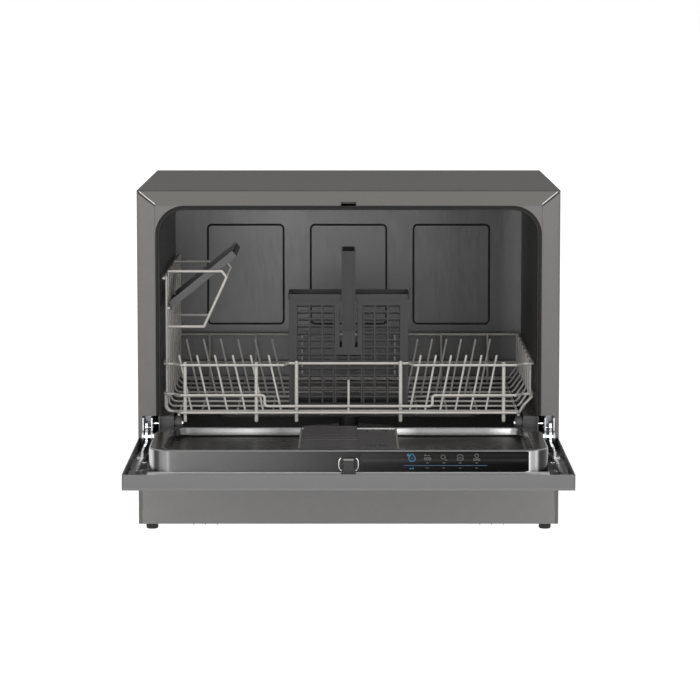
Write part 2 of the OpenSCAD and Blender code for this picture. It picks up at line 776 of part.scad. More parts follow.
module drain_pump() color(pale_colour) at_front() {
    z = well_z - tub_t - touch - sump_depth + 17;
    translate([0, arm_y, 0]) {
        rod_x(sump_r - 3, sump_r + 22, 0, z, 9);
        rod_x(sump_r + 20, sump_r + 40, 0, z, 22);
        block(sump_r + 39, sump_r + 74, -18, 18, z - 18, z + 18);
        block(sump_r + 44, sump_r + 68, -12, 12, base_z + sheet + tray_t + 2 * touch, z - 17);
    }
}

module inlet_valve() color(pale_colour) at_front() difference() {
    y0 = rear_y - 2 * sheet - touch - pocket_d;
    union() {
        rod_y(inlet_x, y0 - 30, cab_d - 6, fitting_z, inlet_r);
        rod_y(inlet_x, y0 - 4, y0 - touch, fitting_z, inlet_r + 5);
        block(inlet_x - 17, inlet_x + 17, y0 - 46, y0 - 20, fitting_z - 30, fitting_z + 16);
    }
    rod_y(inlet_x, y0 - 14, cab_d, fitting_z, inlet_r - 3);
}

module drain_spout() color(dark_colour) at_front() difference() {
    y0 = rear_y - 2 * sheet - touch - pocket_d;
    union() {
        rod_y(spout_x, y0 - 24, cab_d - 8, fitting_z, spout_r);
        rod_y(spout_x, y0 - 4, y0 - touch, fitting_z, spout_r + 5);
    }
    rod_y(spout_x, y0 - 30, cab_d, fitting_z, spout_r - 2.5);
}

module cable_gland() color(dark_colour) at_front() difference() {
    y0 = rear_y - 2 * sheet - touch;
    union() {
        rod_y(gland_x, y0 - 12, rear_y - 0.4, fitting_z, gland_bore_r + 4 - touch);
        rod_y(gland_x, y0 - 5, y0 - touch, fitting_z, gland_bore_r + 8);
        rod_y(gland_x, rear_y - sheet, rear_y + 1, fitting_z, gland_bore_r + 8);
    }
    rod_y(gland_x, y0 - 20, cab_d, fitting_z, gland_bore_r);
}

module spray_hub() color(dark_colour) at_front() translate([0, arm_y, 0]) {
    top = well_z - tub_t - touch;
    difference() {
        union() {
            rod_z(0, 0, top - 13, arm_z + arm_h + 2, arm_post_r - run_clear);
            rod_z(0, 0, well_z + 2, arm_z - slip, arm_post_r + 5.5);
            rod_z(0, 0, arm_z + arm_h + slip, arm_z + arm_h + 5, arm_post_r + 4);
        }
        rod_z(0, 0, top - 20, arm_z + arm_h, arm_post_r - 3);
    }
}

// One blade of the spray arm, tapered in plan, with a level top and bottom.
module blade_plan() {
    polygon([
        [0, -arm_w / 2], [arm_reach - 12, -arm_w / 3.2], [arm_reach - 12, arm_w / 3.2], [0, arm_w / 2]
    ]);
    translate([arm_reach - 12, 0]) circle(arm_w / 3.2 > 12 ? 12 : arm_w / 3.2);
}

module spray_arm() color(dark_colour) at_front() translate([0, arm_y, arm_z]) difference() {
    union() {
        for (a = [0, 180]) rotate([0, 0, a]) {
            intersection() {
                linear_extrude(arm_h) blade_plan();
                slab_x(0, arm_reach) polygon([
                    [-arm_w / 2, 2], [-arm_w / 4, 0], [arm_w / 4, 0], [arm_w / 2, 2],
                    [arm_w / 2, 4], [arm_w / 5, arm_h - 3], [-arm_w / 5, arm_h - 3], [-arm_w / 2, 4]
                ]);
            }
        }
        cylinder(r = arm_post_r + 12, h = arm_h);
    }
    rod_z(0, 0, -cut, arm_h + cut, arm_post_r);
    rod_z(0, 0, -cut, arm_h - 5, arm_post_r + 6);
    rod_z(0, 0, arm_h - 5.1, arm_h + cut, arm_post_r);
    for (a = [0, 180], i = [0 : 4])
        rotate([0, 0, a]) rod_z(40 + i * (arm_reach - 62) / 4, (i % 2) * 5 - 2.5, arm_h - 6, arm_h + cut, 1.6);
}

// Outline of a hinge bracket's plate, in Y and Z.
module bracket_plate() difference() {
    union() {
        translate([hinge_y, hinge_z]) circle(pin_r + 4.5);
        translate([hinge_y, hinge_z + 1]) square([drop_y + 12 - hinge_y, 24]);
        translate([drop_y + 1, base_z + sheet + tray_t + 2 * touch])
            square([11, hinge_rise - sheet - tray_t + 10]);
    }
    translate([hinge_y, hinge_z]) circle(pin_r + touch);
    translate([roller_y, roller_z]) circle(axle_r + touch);
    translate([hinge_y + 26, hinge_z + 9]) circle(stop_r + touch);
}

// Hinge bracket, drawn on the right: two plates, a web between them and a foot.
module hinge_bracket() {
    z0 = base_z + sheet + tray_t + 2 * touch;
    slab_x(plate_in_x, plate_in_x + bracket_t) bracket_plate();
    slab_x(plate_out_x, plate_out_x + bracket_t) bracket_plate();
    block(plate_in_x, plate_out_x + bracket_t, drop_y + 12 - bracket_t, drop_y + 12, z0, hinge_z + 25);
    difference() {
        block(plate_in_x, plate_out_x + bracket_t, drop_y - 14, drop_y + 12, z0, z0 + bracket_t);
        rod_z(half_w - foot_inset, foot_front, 0, z0 + 9, 3);
    }
    // Lug that holds the spring's lower end
    block(arm_x + arm_t / 2 - 1.5, arm_x + arm_t / 2 + 1.5, hinge_y + 25, drop_y + 12, z0, z0 + 15.9);
}

module hinge_bracket_left() color(zinc_colour) at_front() on_side(-1) hinge_bracket();

module hinge_bracket_right() color(zinc_colour) at_front() hinge_bracket();

module hinge_pins() color(chrome_colour) at_front() for (s = [-1, 1]) on_side(s) {
    rod_x(plate_in_x - touch, plate_out_x + bracket_t + 0.4, hinge_y, hinge_z, pin_r);
    rod_x(plate_in_x - 2, plate_in_x - touch, hinge_y, hinge_z, pin_r + 2);
    rod_x(plate_in_x - 0.4, plate_out_x + bracket_t + 0.4, hinge_y + 26, hinge_z + 9, stop_r);
}

// Hinge arm, drawn on the right: eye, tail for the spring, goose neck and a foot in the door.
module hinge_arm() {
    foot_z = side_ledge_z + touch;
    difference() {
        union() {
            slab_x(arm_x, arm_x + arm_t) {
                translate([hinge_y, hinge_z]) circle(pin_r + 6);
                translate([hinge_y - 4, hinge_z]) square([15, 13]);
                translate([hinge_y + 3.5, hinge_z + 13]) circle(7.5);
                translate([hinge_y, hinge_z - 2]) square([28, 7.5]);
                translate([hinge_y + 28, hinge_z + 1.75]) circle(3.75);
                translate([hinge_y - 100, foot_z]) square([100, 9.5]);
            }
            block(arm_x, arm_x + 8, hinge_y - 98, hinge_y - 42, foot_z, foot_z + 1.6);
        }
        rod_x(arm_x - cut, arm_x + arm_t + cut, hinge_y, hinge_z, pin_r + run_clear);
        rod_x(arm_x - cut, arm_x + arm_t + cut, hinge_y + 28, hinge_z + 1.75, 1.6);
        rod_x(arm_x - cut, arm_x + arm_t + cut, hinge_y + 4, hinge_z + 13.5, 2.6);
    }
    // Rivet on the arm's face
    rod_x(arm_x + arm_t - touch, arm_x + arm_t + 1.2, hinge_y - 18, foot_z + 5, 3);
}

module hinge_arm_left() color(chrome_colour) at_front() on_side(-1) hinge_arm();

module hinge_arm_right() color(chrome_colour) at_front() hinge_arm();

// Extension spring as a coil of wire, wound with 10 rings a turn and 6 sides.
spring_rings = 10;
spring_sides = 6;
module coil(h) {
    n = spring_turns * spring_rings;
    r = (spring_d - spring_wire_d) / 2;
    w = spring_wire_d / 2;
    points = [for (i = [0 : n], k = [0 : spring_sides - 1])
        let (a = 360 * i / spring_rings, b = 360 * k / spring_sides, rr = r + w * cos(b))
        [rr * cos(a), rr * sin(a), h * i / n + w * sin(b)]];
    m = spring_sides;
    sides = [for (i = [0 : n - 1], k = [0 : m - 1], half = [0, 1])
        let (a = i * m + k, b = i * m + (k + 1) % m)
        half == 0 ? [a, b + m, a + m] : [a, b, b + m]];
    ends = [for (k = [1 : m - 2], end = [0, 1]) end == 0 ? [0, k + 1, k] : [n * m, n * m + k, n * m + k + 1]];
    polyhedron(points = points, faces = concat(sides, ends), convexity = 6);
}

module door_springs() color(zinc_colour) at_front() for (s = [-1, 1]) on_side(s) {
    z0 = base_z + sheet + tray_t + 15;
    z1 = hinge_z - 3;
    x = arm_x + arm_t / 2;
    y = hinge_y + 28;
    r = (spring_d - spring_wire_d) / 2;
    translate([x, y, z0 + 6]) coil(z1 - z0 - 10);
    rod_x(x - 1, x + r + 0.3, y, z0 + 6, spring_wire_d / 2 - 0.05);
    rod_z(x, y, z0 + 1, z0 + 6.4, spring_wire_d / 2 - 0.05);
    rod_x(x - 1, x + r + 0.3, y, z1 - 4, spring_wire_d / 2 - 0.05);
    rod_z(x, y, z1 - 4.4, hinge_z - 2.1, spring_wire_d / 2 - 0.05);
}

module roller_bracket() {
    difference() {
        union() {
            block(block_in_x, tub_hw - touch, roller_y - 10, roller_y + 10, sill_z + touch, block_top);
            block(block_in_x + 7, tub_hw - touch, roller_y + 9, roller_y + 22, roller_z - 4, block_top);
            rod_x(block_in_x - 1.6, block_in_x + cut, roller_y, roller_z, axle_r + 3);
        }
        rod_x(block_in_x - 3, tub_hw + cut, roller_y, roller_z, axle_r + touch);
        block(block_in_x + 2, tub_hw - 3, roller_y - 11, roller_y - 8.4, sill_z + 3, block_top - 3);
    }
}

module roller_bracket_left() color(dark_colour) at_front() on_side(-1) roller_bracket();

module roller_bracket_right() color(dark_colour) at_front() roller_bracket();

module roller_axles() color(chrome_colour) at_front() for (s = [-1, 1]) on_side(s) {
    rod_x(runner_x - roller_w / 2 - 0.6, plate_in_x + bracket_t + 0.8, roller_y, roller_z, axle_r);
    rod_x(runner_x - roller_w / 2 - 1.8, runner_x - roller_w / 2 - 0.3, roller_y, roller_z, axle_r + 1.6);
    rod_x(tub_hw + tub_t + 2, plate_in_x - 1, roller_y, roller_z, axle_r + 1);
}

module roller() difference() {
    w = roller_w / 2;
    translate([runner_x, roller_y, roller_z]) rotate([0, 90, 0]) rotate_extrude() polygon([
        [axle_r + run_clear, -w], [roller_r + 0.5, -w], [roller_r + 0.5, -w + 1], [roller_r, -w + 1.6],
        [roller_r, w - 1.6], [roller_r + 0.5, w - 1], [roller_r + 0.5, w], [axle_r + run_clear, w]
    ]);
    for (a = [0 : 60 : 300]) translate([0, roller_y, roller_z]) rotate([a, 0, 0])
        rod_x(runner_x - w - cut, runner_x + w + cut, 0, (roller_r + axle_r) / 2, 1.3);
}

module roller_left() color(dark_colour) at_front() on_side(-1) roller();

module roller_right() color(dark_colour) at_front() roller();

// Ledges on the tub's sides that carry the back of the rack
module rack_ledges() color(steel_colour) at_front() for (s = [-1, 1]) on_side(s) {
    block(tub_hw - 14, tub_hw - touch, roller_y + 24, tub_back - 6, ledge_z, ledge_z + 1.5);
    block(tub_hw - 1.5, tub_hw - touch, roller_y + 24, tub_back - 6, ledge_z - 9, ledge_z + 1);
}

// Plan of the door's tray, drawn inset by g.
module door_plan(g) {
    r = door_corner_r - g;
    mirror([0, 1]) arch(half_w - g, -(door_tail_y - g), -(door_front_y + g), r);
}

// The door's tray as a solid, inset by g and open upwards where g is above zero.
module door_form(g) difference() {
    slab_z(door_bottom_z + g, rim_z + (g > 0 ? cut : 0)) door_plan(g);
    slab_x(-half_w - cut, half_w + cut) polygon([
        [door_front_y - cut, door_bottom_z - cut],
        [door_front_y + door_bevel + cut + g * 1.414, door_bottom_z - cut],
        [door_front_y - cut, door_bottom_z + door_bevel + cut + g * 1.414]
    ]);
}

module door_outer_panel() color(casing_colour) at_front() difference() {
    door_form(0);
    door_form(sheet);
}

// Raised body of the liner, inset by g.
module liner_form(g) intersection() {
    slab_z(0, border_z + cut) mirror([0, 1])
        arch(liner_hw - g, -(liner_y1 - g), -(liner_y0 + g), seal_r - seal_gap - g);
    slab_x(-liner_hw - cut, liner_hw + cut) polygon([
        [liner_y0 - cut, side_ledge_z - liner_t - (g > 0 ? cut : 0)], [liner_y0 - cut, border_z - g],
        [taper_y0, border_z - g], [taper_y1, rear_border_z - g], [liner_y1 + cut, rear_border_z - g],
        [liner_y1 + cut, side_ledge_z - liner_t - (g > 0 ? cut : 0)]
    ]);
}

// Recess in the liner, grown by g.
module liner_recess(g) intersection() {
    translate([0, (recess_y0 + lip_top_y) / 2, 0]) slab_z(0, border_z + 9)
        round_rect(2 * (recess_hw + g), lip_top_y - recess_y0 + 2 * g, recess_r - 6 + g);
    slab_x(-liner_hw - cut, liner_hw + cut) polygon([
        [recess_y0 - g - cut, floor_z - g], [lip_foot_y + g, floor_z - g],
        [lip_top_y + g, rear_border_z + 0.1], [lip_top_y + g, border_z + 9], [recess_y0 - g - cut, border_z + 9]
    ]);
}

module door_liner() color(steel_colour) at_front() difference() {
    union() {
        difference() {
            liner_form(0);
            difference() {
                liner_form(liner_t);
                liner_recess(liner_t);
            }
            liner_recess(0);
        }
        for (s = [-1, 1]) on_side(s) {
            block(liner_hw - liner_t, half_w - sheet - 2 * touch, door_front_y + door_bevel + 3,
                door_tail_y - sheet - 2 * touch, side_ledge_z - liner_t, side_ledge_z);
        }
        block(-liner_hw + liner_t, liner_hw - liner_t, liner_y1 - liner_t, door_tail_y - sheet - 2 * touch,
            side_ledge_z - liner_t, side_ledge_z);
        block(-liner_hw, liner_hw, door_front_y + sheet + touch, liner_y0 + liner_t / 2, strip_z - liner_t, strip_z);
        block(-liner_hw, liner_hw, door_front_y + sheet + touch, door_front_y + sheet + touch + liner_t,
            strip_z - 8, strip_z - liner_t / 2);
    }
    block(-disp_w / 2 + 3.5, disp_w / 2 - 3.5, disp_y0 + 4.5, disp_y1 - 4.5, floor_z - 9, floor_z + cut);
    block(-10, 10, liner_y0 - cut, liner_y0 + liner_t + cut, strip_z + 1.5, strip_z + 18);
    block(display_x0 - touch, display_x1 + touch, liner_y0 - cut, liner_y0 + display_t,
        strip_z + 2, border_z - 1.5);
    for (s = [-1, 1], y = screw_ys) rod_z(s * screw_x, y, side_ledge_z - 4, side_ledge_z + 4, 1.6);
}

// Door screws along the side channels, beside the hinge arms
screw_head_r = 2.8;
screw_ys = [door_front_y + 40, door_front_y + 108, door_front_y + 176, hinge_y - 50];
screw_x = arm_x - screw_head_r - 1.5;

module door_screws() color(chrome_colour) at_front() for (s = [-1, 1], i = [0 : 3]) {
    z = side_ledge_z + touch;
    difference() {
        rod_z(s * screw_x, screw_ys[i], z, z + 1.8, screw_head_r);
        block(s * screw_x - 2, s * screw_x + 2, screw_ys[i] - 0.4, screw_ys[i] + 0.4, z + 1, z + 3);
    }
}

display_x0 = 36;
display_x1 = 206;
display_t = 0.5;

module display_strip() color([0.07, 0.07, 0.08]) at_front()
    block(display_x0, display_x1, liner_y0 + 0.02, liner_y0 + display_t - 0.02,
        strip_z + 2 + touch, border_z - 1.5 - touch);

module control_board() color([0.12, 0.3, 0.18]) at_front() {
    y = liner_y0 + liner_t + 2;
    block(display_x0, display_x1, y, y + 1.6, strip_z - 6, border_z - 4);
    for (i = [0 : 4]) block(60 + i * 22, 68 + i * 22, y + 1.5, y + 3.4, strip_z + 4, strip_z + 12);
    for (x = [display_x0 + 6, display_x1 - 12]) block(x, x + 6, liner_y0 + liner_t + touch, y + 0.2, strip_z + 3, strip_z + 9);
}

// Latch on the door: a D-shaped housing in the liner's wall with the tongue in front of it.
latch_pin_z = strip_z + 5;

module latch_housing() color(dark_colour) at_front() {
    difference() {
        union() {
            slab_y(liner_y0 - 0.5, liner_y0 - touch) translate([0, strip_z + 9.6]) round_rect(25, 16.4, 7);
            block(-9.9, 9.9, liner_y0 - 0.3, liner_y0 + 6, strip_z + 1.6, strip_z + 17.9);
        }
        slab_y(liner_y0 - cut, liner_y0 + 3) translate([0, strip_z + 9.6]) round_rect(15, 12, 2);
    }
    // Ears of the tongue's pin, on low feet that pass in front of the gasket when the door is closed
    ear_y1 = fold_sum - open_top - slip;
    foot_z1 = hinge_z - hinge_y + gasket_y - slip;
    for (s = [-1, 1]) on_side(s) {
        block(tongue_w / 2 + slip, tongue_w / 2 + 2.3, tongue_y, ear_y1, strip_z + touch, latch_pin_z + 2.2);
        block(tongue_w / 2 + slip, tongue_w / 2 + 2.3, tongue_y + 1, liner_y0 - touch, strip_z + touch, foot_z1);
        block(tongue_w / 2 + slip, tongue_w / 2 + 2.3, liner_y0 - 0.5, liner_y0 + 0.5, strip_z + 1.6, foot_z1);
    }
    rod_x(-tongue_w / 2 - 1, tongue_w / 2 + 1, tongue_y + tongue_t / 2, latch_pin_z, 0.8);
}

module latch_tongue() color(dark_colour) at_front() difference() {
    union() {
        block(-tongue_w / 2, tongue_w / 2, tongue_y, tongue_y + tongue_t, strip_z + slip, tongue_top);
        slab_x(-tongue_w / 2, tongue_w / 2) polygon([
            [tongue_y + tongue_t - 1, tongue_top - 5], [tongue_y + tongue_t + 1.6, tongue_top - 4],
            [tongue_y + tongue_t + 1.6, tongue_top - 2], [tongue_y + tongue_t - 1, tongue_top]
        ]);
    }
    rod_x(-tongue_w, tongue_w, tongue_y + tongue_t / 2, latch_pin_z, 0.8 + run_clear);
}

// Detergent dispenser in the liner's recess: a flat housing with the cup and its sliding lid on the left,
// a low wedge behind the lid, and the rinse aid cap and a finger flap on the right.
lid_t = 2.4;
lid_x0 = -disp_w / 2 + 2.5;
lid_x1 = disp_split_x - slip;
lid_l = 121;
lid_y0 = disp_y0 + 1.5;
lid_y1 = lid_y0 + lid_l;
lid_z = disp_top - lid_t;
cap_x = (disp_split_x + disp_w / 2 - 2) / 2;
cap_y = disp_y0 + cap_r + 20;
flap_w = 26;
flap_l = 38;

module dispenser_body() color(dark_colour) at_front() difference() {
    hw = disp_w / 2;
    wedge_y0 = lid_y1 + 12;
    union() {
        block(-hw, hw, disp_y0, disp_y1, disp_z, disp_top);
        block(-hw + 4, hw - 4, disp_y0 + 5, disp_y1 - 5, side_ledge_z, disp_z + 1);
        for (s = [-1, 1]) on_side(s) block(hw - 1.6, hw, disp_y0, disp_y1, disp_top - 1, disp_top + 0.8);
        slab_x(-hw + 4, disp_split_x - 1) polygon([
            [wedge_y0, disp_top - 1], [wedge_y0, disp_top], [disp_y1 - 1, disp_top + disp_wedge_h],
            [disp_y1, disp_top + disp_wedge_h - 1], [disp_y1, disp_top - 1]
        ]);
    }
    // Seat of the lid, open at the front, and the trough behind it
    block(lid_x0 - slip, lid_x1 + slip, disp_y0 - cut, lid_y1 + slip, lid_z - slip, disp_top + cut);
    block(lid_x0 - slip, lid_x1 + slip, lid_y1, wedge_y0, disp_top - 7, disp_top + cut);
    // Detergent cup
    block(lid_x0 + 8, lid_x1 - 6, lid_y0 + 34, lid_y1 - 16, side_ledge_z + 2, lid_z);
    // Well of the rinse aid cap
    translate([cap_x, cap_y, 0]) {
        rod_z(0, 0, disp_top - 3, disp_top + 20, cap_r + slip);
        rod_z(0, 0, side_ledge_z + 2, disp_top, cap_r - 4 + run_clear);
    }
    // Finger recess beside the flap
    difference() {
        block(cap_x - flap_w / 2, cap_x + flap_w / 2, disp_y1 - 4 - flap_l, disp_y1 - 4, disp_top - 2.2, disp_top + cut);
        block(cap_x - flap_w / 2 + 2, cap_x + flap_w / 2 - 2, disp_y1 - 5 - flap_l, disp_y1 - 7,
            disp_top - 3, disp_top - 0.6);
    }
}

module dispenser_lid() color(dark_colour) at_front() {
    block(lid_x0, lid_x1, lid_y0, lid_y1, lid_z, lid_z + lid_t);
    block(lid_x0 + 1, lid_x1 - 1, lid_y1 - 38, lid_y1 - 36, lid_z + 1, lid_z + lid_t + 0.9);
    for (i = [0 : 2]) block(lid_x0 + 22, lid_x1 - 22, lid_y0 + 8 + i * 5, lid_y0 + 10 + i * 5, lid_z + 1, lid_z + lid_t + 0.6);
}

module rinse_aid_cap() color([0.3, 0.3, 0.31]) at_front() translate([cap_x, cap_y, 0]) difference() {
    union() {
        rod_z(0, 0, disp_top - 2.6, disp_top + 0.7, cap_r);
        rod_z(0, 0, disp_top - 14, disp_top - 2, cap_r - 4);
    }
    for (s = [-1, 1]) on_side(s) block(2, 10, -9, 9, disp_top - 1.6, disp_top + 1);
}

// One front rail of the rack: set-back ends and, where back is above zero, a set-back middle.
module front_rail(z, back) {
    ends = [[-rack_hw + turn_r + touch, rack_end_y], [-jog_end_x, rack_end_y], [-jog_x, rack_front]];
    mid = back > 0 ? [[-86, rack_front], [-86 + back / 3, rack_front + back]] : [];
    left = concat(ends, mid);
    n = len(left);
    right = [for (i = [0 : n - 1]) [-left[n - 1 - i][0], left[n - 1 - i][1]]];
    wire([for (p = concat(left, right)) [p[0], p[1], z]], frame_d);
}

module rack_front_wires() color(wire_colour) at_front() {
    r = frame_d / 2;
    post_y = rack_front + r + post_d / 2 - weld;
    centre_y = notch_y - cross_d / 2 - post_d / 2 - touch;
    front_rail(rail_top_z, rack_notch);
    // Middle rail, stepped down behind the middle of the door
    step_r = 4;
    step_x = 106;
    for (s = [-1, 1]) on_side(s) {
        wire([
            [rack_hw - turn_r - touch, rack_end_y, rail_mid_z], [jog_end_x, rack_end_y, rail_mid_z],
            [jog_x, rack_front, rail_mid_z], [step_x + 2 * step_r, rack_front, rail_mid_z]
        ], frame_d);
        bend_upright(step_x + 2 * step_r, rack_front, rail_mid_z - step_r, 90, step_r, frame_d);
        rod_z(step_x + step_r, rack_front, rail_low_z + step_r, rail_mid_z - step_r, r);
        bend_upright(step_x, rack_front, rail_low_z + step_r, 270, step_r, frame_d);
    }
    rod_x(-step_x, step_x, rack_front, rail_low_z, r);
    for (x = [-jog_x + 5, -121, jog_x - 16])
        rod_z(x, post_y, cross_z - 10.5, rail_top_z + 2, post_d / 2);
    for (s = [-1, 1]) rod_z(s * 68.5, centre_y, cross_z - 12, rail_top_z + 2, post_d / 2);
    rod_z(0, rack_front + r + cross_d / 2 + touch, cross_z - 1, cross_z + 43, cross_d / 2);
}

module rack_back_wires() color(wire_colour) at_front() {
    for (z = [rail_top_z, rail_mid_z, cross_z + 1])
        rod_x(-rack_hw + turn_r + touch, rack_hw - turn_r - touch, rack_back, z, frame_d / 2);
    for (i = [-3 : 3])
        rod_z(i * 66, rack_back - frame_d / 2 - cross_d / 2 + weld, cross_z - 8, rail_top_z + 2, cross_d / 2);
}

// Rail along one side with a bend at each end, drawn on the right.
module side_rail(z) {
    y0 = rack_end_y + turn_r;
    y1 = rack_back - turn_r;
    rod_y(rack_hw, y0, y1, z, frame_d / 2);
    bend_level(rack_hw - turn_r, y0, z, -90, turn_r, frame_d);
    bend_level(rack_hw - turn_r, y1, z, 0, turn_r, frame_d);
}

module rack_left_wires() color(wire_colour) at_front() on_side(-1) {
    side_rail(rail_top_z);
    side_rail(rail_mid_z);
    y1 = cross_y[cross_n - 1] + 6;
    rod_y(rack_hw, cross_y[0] - 6, y1, tall_z, frame_d / 2);
    for (y = cross_y) {
        rod_z(side_wire_x, y, cross_z + corner_r, tall_z + 2, cross_d / 2);
        bend_upright(side_wire_x - corner_r, y, cross_z + corner_r, 270, corner_r, cross_d);
    }
    rod_y(shelf_x, cross_y[0] - 2, shelf_y0 + shelf_w + 8, shelf_z, frame_d / 2);
    // Turned-up end of the bottom front rail
    bend_upright(low_end_x - corner_r, low_end_y, low_z + corner_r, 270, corner_r, frame_d);
    rod_z(low_end_x, low_end_y, low_z + corner_r, rail_mid_z - frame_d / 2 - touch, frame_d / 2);
}

module rack_right_wires() color(wire_colour) at_front() {
    side_rail(rail_top_z);
    side_rail(rail_mid_z);
    for (y = cross_y) {
        rod_z(side_wire_x, y, rail_mid_z - 3 + touch, rail_top_z + 2, cross_d / 2);
        wire([
            [jog_x + 6, y, cross_z], [jog_x + 10, y, cross_z + 4], [side_wire_x, y, rail_mid_z - 5],
            [side_wire_x, y, rail_mid_z - 3]
        ], cross_d);
    }
    // Sloping end of the bottom front rail
    wire([
        low_cut + low_gap, low_knee, [jog_end_x + 1, low_end_y, low_z + 8],
        [low_end_x, low_end_y, rail_mid_z - frame_d - 1],
        [low_end_x, low_end_y, rail_mid_z - frame_d / 2 - touch]
    ], frame_d);
}

module rack_floor_wires() color(wire_colour) at_front() {
    r = cross_d / 2;
    for (y = cross_y) rod_x(-side_wire_x + corner_r + touch, jog_x + 6 - r * 1.05 - touch, y, cross_z, r);
    // Flat run of the bottom front rail, whose ends belong to the rack's sides
    wire([
        [-low_end_x + corner_r + touch, low_end_y, low_z], [-jog_end_x, low_end_y, low_z], [-jog_x, low_y, low_z],
        [jog_x, low_y, low_z], low_cut - low_gap
    ], frame_d);
    y0 = cross_y[0] - 4;
    y1 = cross_y[cross_n - 1] + 4;
    for (s = [-1, 1]) rod_y(s * runner_x, rack_front + 6, y1, runner_z, frame_d / 2);
    for (i = [0, 2, 4]) {
        rod_y(-(tine_first_l + (i + 0.5) * tine_pitch_l), y0, y1, cross_z - cross_d + weld, r);
        rod_y(tine_first_r + (i + 0.5) * tine_pitch_r, y0, y1, cross_z - cross_d + weld, r);
    }
    for (s = [-1, 1]) rod_y(s * 35, y0, y1, cross_z - cross_d + weld, r);
}

// Shoes at the back of the rack that slide on the tub's ledges
module rack_glides() color(dark_colour) at_front() for (s = [-1, 1]) on_side(s)
    difference() {
        x1 = side_wire_x - 1;
        y = cross_y[cross_n - 2] + cross_step / 2;
        block(runner_x - 4, x1, y - 11, y + 11, ledge_z + 1.5 + slip, runner_z + 4.4 - touch - 1.4);
        rod_y(runner_x, y - 12, y + 12, runner_z, frame_d / 2 + touch);
        block(runner_x - frame_d / 2 - touch, runner_x + frame_d / 2 + touch, y - 12, y + 12,
            runner_z, runner_z + 9);
    }

// Two rows of leaning tines; lean and step are positive towards the right.
module tine_rows(first, step, lean) {
    for (row = [0, 4], i = [0 : tine_n - 1])
        translate([first + i * step, cross_y[row] + cross_d / 2 + tine_d / 2 + touch, cross_z - 3.5])
            rotate([0, lean, 0]) cylinder(d = tine_d, h = tine_l / cos(lean));
}

module tines_left() color(wire_colour) at_front() tine_rows(-tine_first_l, -tine_pitch_l, -tine_lean_l);

module tines_right() color(wire_colour) at_front() tine_rows(tine_first_r, tine_pitch_r, tine_lean_r);

// Wire brackets below the cup shelf, in upright planes at its front and back
bracket_top_x = shelf_x - 76;
module cup_brackets() color(wire_colour) at_front() {
    z1 = shelf_top_at(bracket_top_x + 8);
    for (y = [shelf_y0 - 2.2, shelf_y0 + shelf_w + 2.2]) wire([
        [-side_wire_x + 1.8, y, z1], [-bracket_top_x - 6, y, z1], [-bracket_top_x, y, z1 - 8],
        [-bracket_top_x - 30, y, z1 - 73], [-side_wire_x + 1.8, y, z1 - 73]
    ], frame_d);
}

// Height of a wire that lies just below the tilted shelf, at the distance x from the middle.
function shelf_top_at(x) =
    shelf_z + (shelf_x - x) * tan(shelf_tilt) - (3.2 + frame_d / 2 + slip) / cos(shelf_tilt);

module cup_shelf() color(dark_colour) at_front() translate([-shelf_x, 0, shelf_z]) rotate([0, -shelf_tilt, 0]) {
    y1 = shelf_y0 + shelf_w;
    difference() {
        union() {
            block(4, shelf_l, shelf_y0, y1, -3.2, -3.2 + shelf_t);
            for (y = [shelf_y0, y1 - 3]) block(4, shelf_l, y, y + 3, -3.2, 6);
            block(shelf_l - 3, shelf_l, shelf_y0, y1, -3.2, 3);
            for (y = [shelf_y0 + 8, y1 - 20]) {
                rod_y(0, y, y + 12, 0, frame_d / 2 + 2.6);
                block(0, 6, y, y + 12, -3.2, 2);
            }
        }
        rod_y(0, shelf_y0 - cut, y1 + cut, 0, frame_d / 2 + run_clear);
        for (i = [0 : 6], j = [0 : 2]) {
            w = (shelf_w - 20) / 7;
            l = (shelf_l - 26) / 3;
            block(14 + j * l, 14 + j * l + l - 5, shelf_y0 + 10 + i * w, shelf_y0 + 10 + i * w + w - 5, -9, 3);
        }
    }
}

// Grille in a wall w wide, from the bottom up to h: columns and rows of openings between bars.
module grille(w, h, cols, rows, pitch) {
    x0 = -cols * pitch / 2 + grille_bar / 2;
    difference() {
        translate([-w / 2, 0]) square([w, h]);
        for (i = [0 : cols - 1], k = [0 : rows - 1])
            translate([x0 + i * pitch, 8 + k * grille_pitch_z]) square([pitch - grille_bar, grille_pitch_z - grille_bar]);
    }
}

// Front wall of the basket: a full grille below, two windows beside the handle's panel above.
module basket_front() {
    cols = 8;
    rows = floor((basket_h - 19) / grille_pitch_z);
    low = 7;
    panel_w = 32;
    difference() {
        translate([-basket_w / 2, 0]) square([basket_w, basket_h]);
        for (k = [0 : rows - 1], i = [0 : cols - 1]) {
            x = (i - cols / 2) * grille_pitch_x + grille_bar / 2;
            centre = x + grille_pitch_x / 2 - grille_bar / 2;
            if (k < low || abs(centre) > panel_w / 2 + 4)
                translate([x, 8 + k * grille_pitch_z]) square([grille_pitch_x - grille_bar, grille_pitch_z - grille_bar]);
        }
        for (s = [-1, 1]) translate([s * 10.2 - 1.7, 8 + low * grille_pitch_z + 8])
            square([3.4, basket_h - low * grille_pitch_z - 26]);
    }
}

